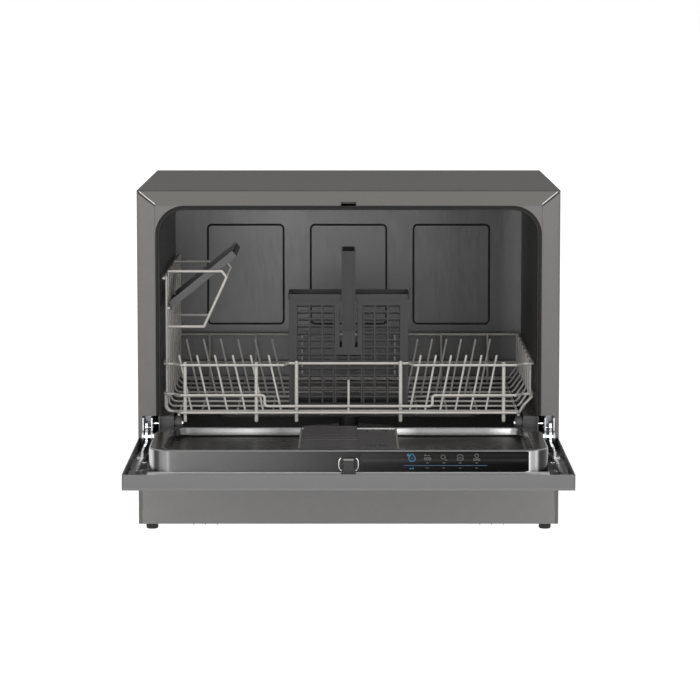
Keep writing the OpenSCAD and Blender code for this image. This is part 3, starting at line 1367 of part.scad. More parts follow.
module cutlery_basket() color(dark_colour) at_front() {
    hw = basket_w / 2;
    y1 = basket_y + basket_d;
    rows = floor((basket_h - 19) / grille_pitch_z);
    side_cols = floor((basket_d - 10) / grille_pitch_x);
    translate([0, 0, basket_z]) {
        slab_y(basket_y, basket_y + basket_t) basket_front();
        slab_y(y1 - basket_t, y1) basket_front();
        for (s = [-1, 1]) on_side(s) translate([0, (basket_y + y1) / 2, 0])
            slab_x(hw - basket_t, hw) grille(basket_d, basket_h, side_cols, rows, grille_pitch_x);
        translate([0, (basket_y + y1) / 2, 0]) linear_extrude(basket_t) difference() {
            square([basket_w, basket_d], center = true);
            for (i = [-4 : 3], j = [-2 : 1]) translate([i * grille_pitch_x + 1, j * (basket_d / 4 - 2) + 1])
                square([grille_pitch_x - grille_bar, basket_d / 4 - 2 - grille_bar]);
        }
        // Rim
        translate([0, (basket_y + y1) / 2, basket_h - 7]) linear_extrude(7) difference() {
            round_rect(basket_w + 2, basket_d + 2, 5);
            square([basket_w - 2 * basket_t, basket_d - 2 * basket_t], center = true);
        }
        // Dividers
        for (s = [-1, 1]) block(s * 20 - 0.8, s * 20 + 0.8, basket_y + basket_t / 2, y1 - basket_t / 2,
            basket_t / 2, basket_h - 12);
    }
}

// Handle: a leg in front of and behind the basket, joined by a grip, with keys in the slots.
module basket_handle() color(dark_colour) at_front() difference() {
    z0 = basket_top - 47;
    z1 = basket_top + handle_rise;
    y1 = basket_y + basket_d;
    r = handle_w / 2 - 0.01;
    union() {
        for (y = [handle_y, y1 + 1 + slip]) slab_y(y, y + handle_t) {
            translate([0, z0 + r]) circle(r);
            translate([-handle_w / 2, z0 + r]) square([handle_w, z1 - z0 - r]);
        }
        block(-handle_w / 2 + 2, handle_w / 2 - 2, handle_y + 1, y1 + 3.4, z1 - 9, z1);
    }
    slab_y(handle_y - cut, handle_y + 0.9) {
        translate([0, z0 + r + 1]) circle(r - 2.6);
        translate([-handle_w / 2 + 2.6, z0 + r + 1]) square([handle_w - 5.2, z1 - z0 - r - 6]);
    }
    slab_y(y1 + 3.5, y1 + 6) translate([-handle_w / 2 + 2.6, z0 + r + 1]) square([handle_w - 5.2, z1 - z0 - r - 6]);
}

top_panel();
side_panel_left();
side_panel_right();
back_panel();
base_tray();
plinth();
feet();
casing_screws();
tub();
tub_frame();
tub_gasket();
sill_seal();
door_lock();
sump();
filter_plate();
filter_cup();
heater();
wash_pump();
drain_pump();
inlet_valve();
drain_spout();
cable_gland();
spray_hub();
spray_arm();
hinge_bracket_left();
hinge_bracket_right();
hinge_pins();
door_springs();
roller_bracket_left();
roller_bracket_right();
roller_axles();
roller_left();
roller_right();
rack_ledges();
door_outer_panel();
door_liner();
hinge_arm_left();
hinge_arm_right();
door_screws();
control_board();
display_strip();
latch_housing();
latch_tongue();
dispenser_body();
dispenser_lid();
rinse_aid_cap();
rack_front_wires();
rack_back_wires();
rack_left_wires();
rack_right_wires();
rack_floor_wires();
rack_glides();
tines_left();
tines_right();
cup_brackets();
cup_shelf();
cutlery_basket();
basket_handle();
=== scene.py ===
"""Looks of the countertop dishwasher: finishes, light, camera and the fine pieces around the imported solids."""
import math
import bpy
import numpy as np
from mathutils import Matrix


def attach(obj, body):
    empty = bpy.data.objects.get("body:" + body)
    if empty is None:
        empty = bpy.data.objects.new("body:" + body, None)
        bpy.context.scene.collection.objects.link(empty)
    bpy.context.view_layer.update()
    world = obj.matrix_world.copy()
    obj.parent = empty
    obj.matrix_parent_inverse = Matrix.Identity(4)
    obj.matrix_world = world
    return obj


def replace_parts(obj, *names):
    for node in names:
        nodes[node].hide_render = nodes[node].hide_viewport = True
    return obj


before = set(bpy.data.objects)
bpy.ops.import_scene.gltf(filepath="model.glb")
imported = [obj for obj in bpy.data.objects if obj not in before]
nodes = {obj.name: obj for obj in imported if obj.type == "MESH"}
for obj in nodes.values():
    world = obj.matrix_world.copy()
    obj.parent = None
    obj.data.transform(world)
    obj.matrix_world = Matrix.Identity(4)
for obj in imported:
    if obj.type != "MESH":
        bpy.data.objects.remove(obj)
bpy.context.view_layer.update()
MM = 0.001


# Finishes

def finish(name, colour, roughness, metallic=0.0, mottle=0.06, mottle_scale=180.0, bump=0.05, bump_scale=900.0,
           bump_depth=0.0004, coat=0.0, rough_spread=0.06, grain=(1.0, 1.0, 1.0), specular=0.5, edge=1.0):
    """A finish whose colour and gloss wander with one noise and whose surface height follows another."""
    m = bpy.data.materials.new(name)
    m.use_nodes = True
    t = m.node_tree
    s = t.nodes["Principled BSDF"]
    s.inputs["Metallic"].default_value = metallic
    s.inputs["Coat Weight"].default_value = coat
    s.inputs["Coat Roughness"].default_value = 0.15
    s.inputs["Specular IOR Level"].default_value = specular
    s.inputs["Specular Tint"].default_value = (edge, edge, edge, 1)
    where = t.nodes.new("ShaderNodeTexCoord")
    stretch = t.nodes.new("ShaderNodeMapping")
    stretch.inputs["Scale"].default_value = grain
    t.links.new(where.outputs["Object"], stretch.inputs["Vector"])
    wander = t.nodes.new("ShaderNodeTexNoise")
    wander.inputs["Scale"].default_value = mottle_scale
    wander.inputs["Detail"].default_value = 5.0
    t.links.new(stretch.outputs["Vector"], wander.inputs["Vector"])
    tint = t.nodes.new("ShaderNodeValToRGB")
    c = np.array(colour)
    tint.color_ramp.elements[0].position = 0.3
    tint.color_ramp.elements[1].position = 0.7
    tint.color_ramp.elements[0].color = (*(c * (1 - mottle)), 1)
    tint.color_ramp.elements[1].color = (*np.minimum(c * (1 + mottle), 1), 1)
    t.links.new(wander.outputs["Fac"], tint.inputs["Fac"])
    t.links.new(tint.outputs["Color"], s.inputs["Base Color"])
    gloss = t.nodes.new("ShaderNodeMapRange")
    gloss.inputs["To Min"].default_value = max(roughness - rough_spread, 0.02)
    gloss.inputs["To Max"].default_value = roughness + rough_spread
    t.links.new(wander.outputs["Fac"], gloss.inputs["Value"])
    t.links.new(gloss.outputs["Result"], s.inputs["Roughness"])
    relief = t.nodes.new("ShaderNodeTexNoise")
    relief.inputs["Scale"].default_value = bump_scale
    relief.inputs["Detail"].default_value = 3.0
    t.links.new(stretch.outputs["Vector"], relief.inputs["Vector"])
    height = t.nodes.new("ShaderNodeBump")
    height.inputs["Strength"].default_value = bump
    height.inputs["Distance"].default_value = bump_depth
    t.links.new(relief.outputs["Fac"], height.inputs["Height"])
    t.links.new(height.outputs["Normal"], s.inputs["Normal"])
    return m


SILK = {"mottle": 0.03, "mottle_scale": 60, "bump": 0.1, "bump_scale": 1400, "bump_depth": 0.0002}
MOULDED = {"mottle": 0.05, "bump": 0.15, "bump_scale": 1800, "bump_depth": 0.0002}
PAINT = finish("silk_casing_paint", (0.172, 0.163, 0.156), 0.42, coat=0.1, specular=0.35, **SILK)
# Painted light: the plinth is painted lighter than the casing, to lift it out of the shade under the door.
PLINTH_PAINTED_LIGHT = finish("silk_plinth_paint_painted_light", (0.285, 0.279, 0.276), 0.42, coat=0.1, specular=0.35, **SILK)
ZINC = finish("zinc_plated_sheet", (0.5, 0.51, 0.53), 0.4, metallic=1.0, mottle=0.12, mottle_scale=40)
STEEL = finish("satin_tub_steel", (0.5, 0.49, 0.475), 0.33, metallic=1.0, mottle=0.05, mottle_scale=25, bump=0.06,
               bump_scale=500, grain=(0.25, 1.0, 1.0))
LINER_STEEL = finish("polished_liner_steel", (0.19, 0.19, 0.19), 0.24, metallic=1.0, mottle=0.03, mottle_scale=20,
                     bump=0.04, bump_scale=200, grain=(0.2, 1.0, 1.0), rough_spread=0.04)
# Painted shade: a darker copy of the liner steel for the liner's floor and side channels, standing in for the dark
# tub reflected there.
FLOOR_STEEL = finish("satin_liner_floor_painted_shade", (0.05, 0.049, 0.046), 0.28, metallic=1.0, mottle=0.05, mottle_scale=20,
                     bump=0.04, bump_scale=200, grain=(0.2, 1.0, 1.0), edge=0.75)
GROOVE_STEEL = finish("shaded_pressing_steel", (0.03, 0.03, 0.03), 0.5, metallic=1.0, mottle=0.05)
CHROME = finish("bright_chrome", (0.82, 0.83, 0.84), 0.12, metallic=1.0, mottle=0.03, rough_spread=0.04)
RUBBER = finish("matt_black_rubber", (0.02, 0.019, 0.018), 0.6, mottle=0.15, bump=0.15, bump_scale=1500,
                specular=0.35)
PLASTIC = finish("grained_dark_plastic", (0.072, 0.068, 0.07), 0.42, mottle=0.06, bump=0.2, bump_scale=2200,
                 bump_depth=0.0002)
BASKET = finish("moulded_basket_plastic", (0.042, 0.04, 0.042), 0.45, specular=0.3, **MOULDED)
HANDLE = finish("moulded_handle_plastic", (0.026, 0.024, 0.025), 0.4, specular=0.3, **MOULDED)
DISPENSER = finish("moulded_dispenser_plastic", (0.085, 0.08, 0.083), 0.38, mottle=0.05, bump=0.15, bump_scale=2000,
                   bump_depth=0.0002)
PALE = finish("pale_moulded_plastic", (0.62, 0.62, 0.59), 0.45, mottle=0.03, bump=0.1, bump_scale=1500)
COATING = finish("rack_wire_coating", (0.66, 0.635, 0.6), 0.32, mottle=0.05, mottle_scale=90, bump=0.12,
                 bump_scale=700, coat=0.3)
BOARD = finish("lacquered_board", (0.03, 0.14, 0.07), 0.3, mottle=0.2, mottle_scale=300)


def ramped(material, axis, stops, hue=(1.0, 1.0, 1.0)):
    """Colours a finish by its place along an axis; here it paints light and shade along that axis. Stops are pairs
    of millimetres and a grey value, in rising order, and the hue tints every grey."""
    t = material.node_tree
    where = t.nodes.new("ShaderNodeTexCoord")
    parts = t.nodes.new("ShaderNodeSeparateXYZ")
    t.links.new(where.outputs["Object"], parts.inputs[0])
    first, last = stops[0][0], stops[-1][0]
    place = t.nodes.new("ShaderNodeMapRange")
    place.inputs["From Min"].default_value = first * MM
    place.inputs["From Max"].default_value = last * MM
    t.links.new(parts.outputs[axis], place.inputs["Value"])
    ramp = t.nodes.new("ShaderNodeValToRGB")
    marks = ramp.color_ramp.elements
    for at, grey in stops[1:-1]:
        marks.new((at - first) / (last - first)).color = (*[grey * h for h in hue], 1)
    marks[0].color = (*[stops[0][1] * h for h in hue], 1)
    marks[-1].color = (*[stops[-1][1] * h for h in hue], 1)
    t.links.new(place.outputs["Result"], ramp.inputs["Fac"])
    t.links.new(ramp.outputs["Color"], t.nodes["Principled BSDF"].inputs["Base Color"])
    return material


ANY_GREY = (0.1, 0.1, 0.1)      # stands in until the ramp gives the colour
# Painted shade on the tub: lighter on the left, darker towards the right, and lighter again at the right-hand
# corner.
BACK_STEEL = ramped(
    finish("satin_wall_steel_painted_shade", ANY_GREY, 0.42, metallic=1.0, bump=0.05, bump_scale=300, grain=(1.0, 1.0, 0.25)),
    "X", [(-250, 0.115), (-200, 0.11), (-90, 0.126), (0, 0.1), (90, 0.082), (160, 0.058), (215, 0.058),
          (240, 0.11)])
# Painted reflections on the rear wall of the liner's recess: bright bands near x -226, -130, 62 and 208, with dark
# between.
REAR_STEEL = ramped(
    finish("rear_wall_steel_painted_reflections", ANY_GREY, 0.24, metallic=1.0, bump=0.04, bump_scale=200, grain=(0.2, 1.0, 1.0)),
    "X", [(-226, 0.2), (-203, 0.08), (-130, 0.27), (-88, 0.09), (62, 0.38), (90, 0.13), (180, 0.15), (208, 0.44),
          (226, 0.16)])
# Painted light on the top panel: the front flange, up to z 443.8, is painted lighter and the top face darker,
# because the light falls from the front.
TOP_PAINT = ramped(
    finish("silk_top_paint_painted_light", ANY_GREY, 0.5, bump=0.1, bump_scale=1400, bump_depth=0.0002, specular=0.02),
    "Z", [(426, 0.213), (443.8, 0.213), (444.6, 0.101), (446, 0.101)], (1.02, 0.98, 0.93))
# Painted reflections on the liner's front wall: highlights at the round corners and near x -225, and darkening from
# left to right across the wall.
FRONT_STEEL = ramped(
    finish("brushed_front_steel_painted_reflections", ANY_GREY, 0.22, metallic=1.0, bump=0.03, bump_scale=250, grain=(0.2, 1.0, 1.0)),
    "X", [(-246, 0.4), (-239.5, 0.5), (-237, 0.05), (-232, 0.05), (-225, 0.24), (-217, 0.06), (-205, 0.05),
          (-59, 0.024), (14, 0.011), (216, 0.006), (218, 0.28), (229, 0.36), (232, 0.04), (246, 0.02)])
# Dark film with painted shade: it darkens towards the right, carrying on the front wall's painted reflections.
FILM = ramped(
    finish("dark_display_film_painted_shade", ANY_GREY, 0.3, bump=0.0, specular=0.1),
    "X", [(14, 0.044), (87, 0.016), (140, 0.008), (226, 0.004)])
# Painted highlight: the door's paint is lighter along its lower edge, up to z 103.4, where the bent edge catches the
# light.
DOOR_PAINT = ramped(
    finish("silk_door_paint_painted_highlight", ANY_GREY, 0.42, bump=0.1, bump_scale=1400, bump_depth=0.0002, coat=0.15),
    "Z", [(100, 0.245), (103.4, 0.245), (104.4, 0.152), (121, 0.16)])
# Painted highlight: a bright metal for the upper side of the casing's corner mitres.
MITRE_HIGHLIGHT = finish("mitre_painted_highlight", (0.62, 0.62, 0.61), 0.35, metallic=1.0, mottle=0.04)
# Painted highlight: a light grey for the lit top of the latch tongue and the tops of the dispenser's rims.
RIM_HIGHLIGHT = finish("plastic_edge_painted_highlight", (0.3, 0.29, 0.27), 0.4, mottle=0.05)
# Painted glint: the liner's front strip gets a lighter grey than the liner steel.
STRIP_GLINT = finish("front_strip_painted_glint", (0.52, 0.52, 0.52), 0.4, mottle=0.03)
# Painted highlight: near white, for the bead along the liner's front edge, which also covers the dark gap to the
# door.
FRONT_EDGE_HIGHLIGHT = finish("front_edge_painted_highlight", (0.9, 0.9, 0.9), 0.4, mottle=0.02)
LATCH = finish("moulded_latch_plastic", (0.03, 0.029, 0.029), 0.42, mottle=0.05, bump=0.15, bump_scale=2000,
               bump_depth=0.0002, specular=0.3)

dress = {
    PAINT: ["side_panel_left", "side_panel_right", "tub_frame"],
    PLINTH_PAINTED_LIGHT: ["plinth"],
    LATCH: ["latch_housing", "latch_tongue"],
    TOP_PAINT: ["top_panel"],
    DOOR_PAINT: ["door_outer_panel"],
    ZINC: ["back_panel", "base_tray", "hinge_bracket_left", "hinge_bracket_right"],
    STEEL: ["filter_plate", "rack_ledges"],
    BACK_STEEL: ["tub"],
    LINER_STEEL: ["door_liner"],
    CHROME: ["casing_screws", "heater", "hinge_pins", "door_springs", "roller_axles", "hinge_arm_left",
             "hinge_arm_right", "door_screws"],
    RUBBER: ["feet", "tub_gasket", "sill_seal"],
    PLASTIC: ["door_lock", "sump", "wash_pump", "drain_spout", "cable_gland", "spray_hub", "spray_arm",
              "roller_bracket_left", "roller_bracket_right", "roller_left", "roller_right", "rack_glides",
              "cup_shelf"],
    BASKET: ["cutlery_basket"],
    HANDLE: ["basket_handle"],
    DISPENSER: ["dispenser_body", "dispenser_lid", "rinse_aid_cap"],
    PALE: ["filter_cup", "drain_pump", "inlet_valve"],
    COATING: ["rack_front_wires", "rack_back_wires", "rack_left_wires", "rack_right_wires", "rack_floor_wires",
              "tines_left", "tines_right", "cup_brackets"],
    FILM: ["display_strip"],
    BOARD: ["control_board"],
}
for material, names in dress.items():
    for name in names:
        nodes[name].data.materials.clear()
        nodes[name].data.materials.append(material)


# Surfaces

def piece(name, points, faces, material, body, smooth=True):
    """Puts points, in millimetres, and faces into a mesh that rides on a body."""
    me = bpy.data.meshes.new(name)
    me.from_pydata((np.asarray(points, float) * MM).tolist(), [], [list(f) for f in faces])
    me.materials.append(material)
    me.polygons.foreach_set("use_smooth", np.full(len(me.polygons), smooth))
    me.update()
    ob = bpy.data.objects.new(name, me)
    bpy.context.scene.collection.objects.link(ob)
    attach(ob, body)
    return ob


def grid_faces(n, m, wrap_u=False, wrap_v=False, first=0):
    """Faces of a grid of n by m points. Each joins a point, its neighbour along u, the one across and the one
    along v."""
    i, j = np.meshgrid(np.arange(n if wrap_u else n - 1), np.arange(m if wrap_v else m - 1), indexing="ij")
    a, b = i % n, (i + 1) % n
    c, d = j % m, (j + 1) % m
    return np.stack([a * m + c, b * m + c, b * m + d, a * m + d], -1).reshape(-1, 4) + first


def arch_path(half_w, low, top, radius, steps=16):
    """Upside-down U in X and Z: up the left, a quarter circle, along the top, a quarter circle, down the right.
    Returns the points and the outward direction at each."""
    a = np.linspace(math.pi, math.pi / 2, steps)
    left = np.stack([-half_w + radius + radius * np.cos(a), top - radius + radius * np.sin(a)], -1)
    right = left[::-1] * [-1, 1]
    out_l = np.stack([np.cos(a), np.sin(a)], -1)
    path = np.vstack([[[-half_w, low]], left, right, [[half_w, low]]])
    out = np.vstack([[[-1, 0]], out_l, out_l[::-1] * [-1, 1], [[1, 0]]])
    return path, out


def carried(path, out, profile):
    """Carries a profile along a path in X and Z: a profile point (o, y) lies o outwards from it, at the depth y."""
    x = path[:, None, 0] + out[:, None, 0] * profile[None, :, 0]
    z = path[:, None, 1] + out[:, None, 1] * profile[None, :, 0]
    y = np.broadcast_to(profile[None, :, 1], x.shape)
    return np.stack([x, y, z], -1)


def closed_sweep(name, points, material, body):
    """Tube from a grid of sections, closed round the section, with a flat cap at each end."""
    n, m = points.shape[:2]
    faces = grid_faces(n, m, wrap_v=True)
    caps = [list(range(m))[::-1], list(range((n - 1) * m, n * m))]
    return piece(name, points.reshape(-1, 3), faces.tolist() + caps, material, body)


def rod(name, line, across, radii, material, body):
    """Straight rod with an oval section: a radius along each of the two directions across the line."""
    a = np.linspace(0, 2 * math.pi, 14, endpoint=False)
    section = np.outer(radii[0] * np.cos(a), across[0]) + np.outer(radii[1] * np.sin(a), across[1])
    return closed_sweep(name, line[:, None, :] + section, material, body)


# Measures shared by the door's pieces, in millimetres

FRONT = -80.95          # depth of the casing's front plane in this frame
LINER_W = 244.6         # half width of the liner's raised body
LINER_Y0 = FRONT - 293.6
LINER_Y1 = FRONT - 4.0
CORNER = 31.6           # radius of the raised body's front corners
RECESS_W = 226          # half width of the recess inside the border
RECESS_Y0 = FRONT - 284.6
BORDER_Z = 147.0        # top of the border in front
HINGE_BORDER_Z = 136.5  # top of the border beside the hinge
FLOOR_Z = 125.7
CHANNEL_Z = 108.0
FILM_Z = (121.4, 145.4)
QUARTER = np.linspace(0, math.pi / 2, 7)


def with_wall(ob, thickness):
    """Gives an open shell its thickness, behind the face that points outwards."""
    wall = ob.modifiers.new("wall", "SOLIDIFY")
    wall.thickness = thickness * MM
    wall.offset = -1.0
    return ob


def border_height(y):
    """Height of the liner's border: level in front, then a straight fall towards the hinge, then level again."""
    return np.interp(y, [FRONT - 130, FRONT - 30], [BORDER_Z, HINGE_BORDER_Z])


def round_loop(half_w, y0, y1, front_r, rear_r):
    """Rectangle with round corners, counter-clockwise from above: front_r at y0 and rear_r at y1."""
    q = np.linspace(0, math.pi / 2, 13)
    run = np.linspace(0, 1, 40)[1:-1, None]
    centres = [(half_w - front_r, y0 + front_r, front_r), (half_w - rear_r, y1 - rear_r, rear_r),
               (-half_w + rear_r, y1 - rear_r, rear_r), (-half_w + front_r, y0 + front_r, front_r)]
    arcs = [np.stack([x + r * np.cos(q + (k - 1) * math.pi / 2), y + r * np.sin(q + (k - 1) * math.pi / 2)], -1)
            for k, (x, y, r) in enumerate(centres)]
    sides = [arcs[k][-1] + (arcs[(k + 1) % 4][0] - arcs[k][-1]) * run for k in range(4)]
    return np.vstack([np.vstack(pair) for pair in zip(arcs, sides)])


def liner_shell():
    """Rings from the flared foot of the outer wall, over the rolled border and down the inner wall to the floor.
    Each ring is a round rectangle; the border's rings rise and fall with border_height."""
    flare, roll, foot, rings = 2, 1.8, 5.0, []
    for a in QUARTER:
        o = flare * math.sin(a) - flare
        loop = round_loop(LINER_W - o, LINER_Y0 + o, LINER_Y1 - o, CORNER - o, 3 - o)
        rings.append(np.column_stack([loop, np.full(len(loop), CHANNEL_Z + flare - flare * math.cos(a))]))
    for a in QUARTER:
        o = roll * (1 - math.cos(a))
        loop = round_loop(LINER_W - o, LINER_Y0 + o, LINER_Y1 - o, CORNER - o, 3 - o)
        rings.append(np.column_stack([loop, border_height(loop[:, 1]) - roll + roll * math.sin(a)]))
    for a in QUARTER[::-1]:
        o = roll * (math.cos(a) - 1)
        loop = round_loop(RECESS_W - o, RECESS_Y0 + o, FRONT - 8.2 - o, 23 - o, 20 - o)
        rings.append(np.column_stack([loop, border_height(loop[:, 1]) - roll + roll * math.sin(a)]))
    for a in QUARTER:
        o = foot * (1 - math.cos(a)) + 1.2
        loop = round_loop(RECESS_W - o, RECESS_Y0 + o, FRONT - 11.6 - o, 23, 20)
        rings.append(np.column_stack([loop, np.full(len(loop), FLOOR_Z + foot * (1 - math.sin(a)))]))
    grid = np.stack(rings)
    n, m = grid.shape[:2]
    faces = grid_faces(n, m, wrap_v=True)[:, ::-1].tolist()
    floor_face = [list(range((n - 1) * m, n * m))]
    ob = piece("liner_shell", grid.reshape(-1, 3), faces + floor_face, LINER_STEEL, "door")
    # The front wall, floor and rear wall take copies of the liner steel with painted light: painted reflections on
    # the front and rear walls and painted shade on the floor.
    for steel in (FRONT_STEEL, FLOOR_STEEL, REAR_STEEL):
        ob.data.materials.append(steel)
    front_wall, floor, rear_wall = 1, 2, 3
    for f in ob.data.polygons:
        ring_at = min(f.vertices) // m
        if 5 <= ring_at < 8 and f.center.y < (FRONT - 262) * MM:
            f.material_index = front_wall
        if ring_at >= 21:
            f.material_index = floor
        if 19 <= ring_at < 23 and f.center.y > (FRONT - 32) * MM:
            f.material_index = rear_wall
    return with_wall(ob, 0.9)


def strip_along(name, profile, start, end, axis, material, body, steps=24, wall=0.0):
    """Ribbon: an open profile carried straight along X (axis 0) or Y (axis 1), with its points evenly spaced."""
    t = np.linspace(start, end, steps)
    p = np.asarray(profile, float)
    along = np.broadcast_to(t[:, None], (steps, len(p)))
    across = np.broadcast_to(p[None, :, 0], along.shape)
    up = np.broadcast_to(p[None, :, 1], along.shape)
    grid = np.stack([along, across, up] if axis == 0 else [across, along, up], -1)
    ob = piece(name, grid.reshape(-1, 3), grid_faces(steps, len(p)), material, body)
    return with_wall(ob, wall) if wall else ob


def liner_flanges():
    """Flat edges of the liner: the front strip, painted lighter for a glint, with a painted highlight bead along its
    edge, two side channels with a hem in the darker steel of the painted floor shade, and the rear flange."""
    f = FRONT
    front = [(f - 316.8, 111.5), (f - 316.8, 117.8), (f - 316.4, 118.7), (f - 315.4, 119.2), (f - 294.8, 119.2),
             (f - 294.1, 119.35), (f - 293.7, 119.8), (f - 293.5, 120.5)]
    strip_along("liner_front_strip", front, -LINER_W, LINER_W, 0, STRIP_GLINT, "door", wall=0.8)
    # Painted highlight: a bead along the front edge that covers the gap to the door.
    edge = [(f - 317.9, 119.5), (f - 317.5, 120.1), (f - 316.8, 120.35), (f - 316.1, 120.1), (f - 315.7, 119.3)]
    strip_along("liner_front_edge_highlight", edge, -LINER_W, LINER_W, 0, FRONT_EDGE_HIGHLIGHT, "door")
    side = [(246.2, 108.0), (271.6, 108.0), (272.8, 108.4), (273.4, 109.3), (273.6, 110.6), (273.6, 112.4)]
    for s, name in ((-1, "liner_channel_left"), (1, "liner_channel_right")):
        p = [(s * x, z) for x, z in side]
        strip_along(name, p[::s], f - 308.0, f + 22.4, 1, FLOOR_STEEL, "door", wall=0.8)
    rear = [(f - 2.4, 108.0), (f + 20.6, 108.0), (f + 21.8, 108.5), (f + 22.3, 109.6), (f + 22.3, 112.0)]
    strip_along("liner_rear_flange", rear, -LINER_W, LINER_W, 0, LINER_STEEL, "door", wall=0.8)


shell = liner_shell()
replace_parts(shell, "door_liner")
liner_flanges()


def gasket_bulb():
    """Soft gasket: a double-lipped section carried round the opening, up one side, over the top and down the
    other."""
    path, out = arch_path(248.05, 151.2, 422.35, 35.0, 20)
    lips = np.array([(-2.8, 12.0), (-2.8, 3.0), (-2.5, 1.9), (-1.7, 1.3), (-0.9, 1.7), (-0.5, 2.7), (0, 3.0),
                     (0.5, 2.7), (0.9, 1.7), (1.7, 1.3), (2.5, 1.9), (2.8, 3.0), (2.8, 12.0)]) + [0, FRONT]
    return closed_sweep("gasket_bulb", carried(path, out, lips), RUBBER, "casing")


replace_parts(gasket_bulb(), "tub_gasket")


def bead_grid(path, ahead, depth, bead, squash):
    """Points of an oval bead along a path in X and Z, with its middle at the depth Y."""
    out = np.stack([ahead[:, 1], -ahead[:, 0]], -1) / np.linalg.norm(ahead, axis=1)[:, None]
    a = np.linspace(0, 2 * math.pi, 10, endpoint=False)
    profile = np.stack([bead * np.cos(a), depth - bead * squash * np.sin(a)], -1)
    return carried(path, out, profile)


def bead_loop(name, centre, width, height, radius, depth, bead, material, body, squash=1.0):
    """Bead carried round an upright rectangle with round corners."""
    flat = round_loop(width / 2, -height / 2, height / 2, radius, radius) + np.array(centre)
    grid = bead_grid(flat, np.roll(flat, -1, 0) - np.roll(flat, 1, 0), depth, bead, squash)
    n, m = grid.shape[:2]
    return piece(name, grid.reshape(-1, 3), grid_faces(n, m, True, True), material, body)


def bead_line(name, path, depth, bead, material, body, squash=1.0):
    """Bead along an open line of points in X and Z."""
    p = np.asarray(path, float)
    return closed_sweep(name, bead_grid(p, np.gradient(p, axis=0), depth, bead, squash), material, body)


PANEL_PITCH = 147.0
for k, name in enumerate(("wall_panel_left", "wall_panel_middle", "wall_panel_right")):
    bead_loop(name, ((k - 1) * PANEL_PITCH, 298.5), 108, 142, 6, FRONT + 430.6, 1.4, GROOVE_STEEL, "casing",
              0.9)


X, Y, Z = np.eye(3)
u = np.linspace(-1, 1, 25)
for s, side in ((-1, "left"), (1, "right")):
    arc = np.stack([s * (8.8 + 3.0 * (1 - u ** 4)), 130.0 + 7.6 * u], -1)
    bead_line("latch_bezel_" + side, arc, LINER_Y0 - 0.5, 0.65, CHROME, "door", 0.9)
    # Each mitre gets a bright bead above it for its painted highlight and a dark bead below it for its painted
    # shade.
    mitre = np.linspace([s * 272.6, 443.4], [s * 251.0, 426.0], 12)
    bead_line("mitre_highlight_" + side, mitre + [-s * 0.4, 1.0], FRONT + 0.3, 0.6, MITRE_HIGHLIGHT, "casing")
    bead_line("mitre_shade_" + side, mitre - [-s * 0.5, 1.1], FRONT + 0.3, 0.4, GROOVE_STEEL, "casing")
# Painted highlight on the top end of the latch tongue.
latch_bar = np.linspace([-6.2, FRONT - 304.4, 136.9], [6.2, FRONT - 304.4, 136.9], 9)
rod("latch_tip", latch_bar, (Y, Z), (1.1, 1.3), RIM_HIGHLIGHT, "latch")
# Painted highlights along the tops of the dispenser's rims.
for s, side in ((-1, "left"), (1, "right")):
    rim = np.linspace([s * 61.2, FRONT - 225.8, 139.45], [s * 61.2, FRONT - 40.2, 139.45], 12)
    rod("dispenser_rim_highlight_" + side, rim, (X, Z), (1.2, 0.7), RIM_HIGHLIGHT, "door")
trough = [(FRONT - 102.8, 137.0), (FRONT - 102.4, 137.6), (FRONT - 92.6, 137.6), (FRONT - 92.2, 137.0)]
strip_along("dispenser_trough_shade", trough, -52.0, 10.4, 0, RUBBER, "door")


def round_tips(name, places, ways, radius, length, material, body):
    """Rounded ends of wires: half an ellipsoid of the given radius and length at each place, pointing each way."""
    rise, round_ = np.linspace(0, math.pi / 2, 5), np.linspace(0, 2 * math.pi, 12, endpoint=False)
    a, b = np.meshgrid(rise, round_, indexing="ij")
    cap = np.stack([radius * np.cos(a) * np.cos(b), radius * np.cos(a) * np.sin(b), length * np.sin(a)], -1)
    cap = cap.reshape(-1, 3)
    w = np.asarray(ways, float)
    w = w / np.linalg.norm(w, axis=1)[:, None]
    side = np.cross(w, Y)
    side = side / np.linalg.norm(side, axis=1)[:, None]
    axes = np.stack([side, np.cross(w, side), w], 1)
    points = np.einsum("mk,pkc->pmc", cap, axes) + np.asarray(places, float)[:, None, :]
    one = grid_faces(len(rise), len(round_), wrap_v=True)
    faces = (one[None] + (np.arange(len(w)) * len(cap))[:, None, None]).reshape(-1, 4)
    return piece(name, points.reshape(-1, 3), faces, material, body)


post = [(-214.5, FRONT + 24.9), (-121, FRONT + 24.9), (203.5, FRONT + 24.9)]
middle = [(-68.5, FRONT + 38.05), (68.5, FRONT + 38.05)]
feet_at = [(x, y, 141.4) for x, y in post] + [(x, y, 139.9) for x, y in middle]
tops_at = [(x, y, 216.9) for x, y in post + middle]
round_tips("post_feet", feet_at, [(0, 0, -1)] * 5, 2.4, 2.6, COATING, "rack")
round_tips("post_heads", tops_at, [(0, 0, 1)] * 5, 2.4, 2.0, COATING, "rack")


TINE_FOOT, TINE_RISE, TINES = 148.4, 76, 6


def tine_tips(name, first, step, lean, rows):
    """Round ends on two rows of leaning tines."""
    i = np.tile(np.arange(TINES), len(rows))
    y = np.repeat(rows, TINES)
    x = first + i * step + TINE_RISE * math.tan(lean)
    z = np.full(len(x), TINE_FOOT + TINE_RISE)
    way = np.tile([math.sin(lean), 0, math.cos(lean)], (len(x), 1))
    round_tips(name, np.stack([x, y, z], -1), way, 1.4, 1.4, COATING, "rack")


tine_rows = FRONT + np.array([44.95, 245.5])
tine_tips("tine_tips_left", -88.2, -23.6, math.radians(-12.6), tine_rows)
tine_tips("tine_tips_right", 80.2, 20.0, math.radians(11), tine_rows)


# Signs on the display film

SIGN_Y = LINER_Y0 - 0.32
SIGN_DEPTH = 0.12


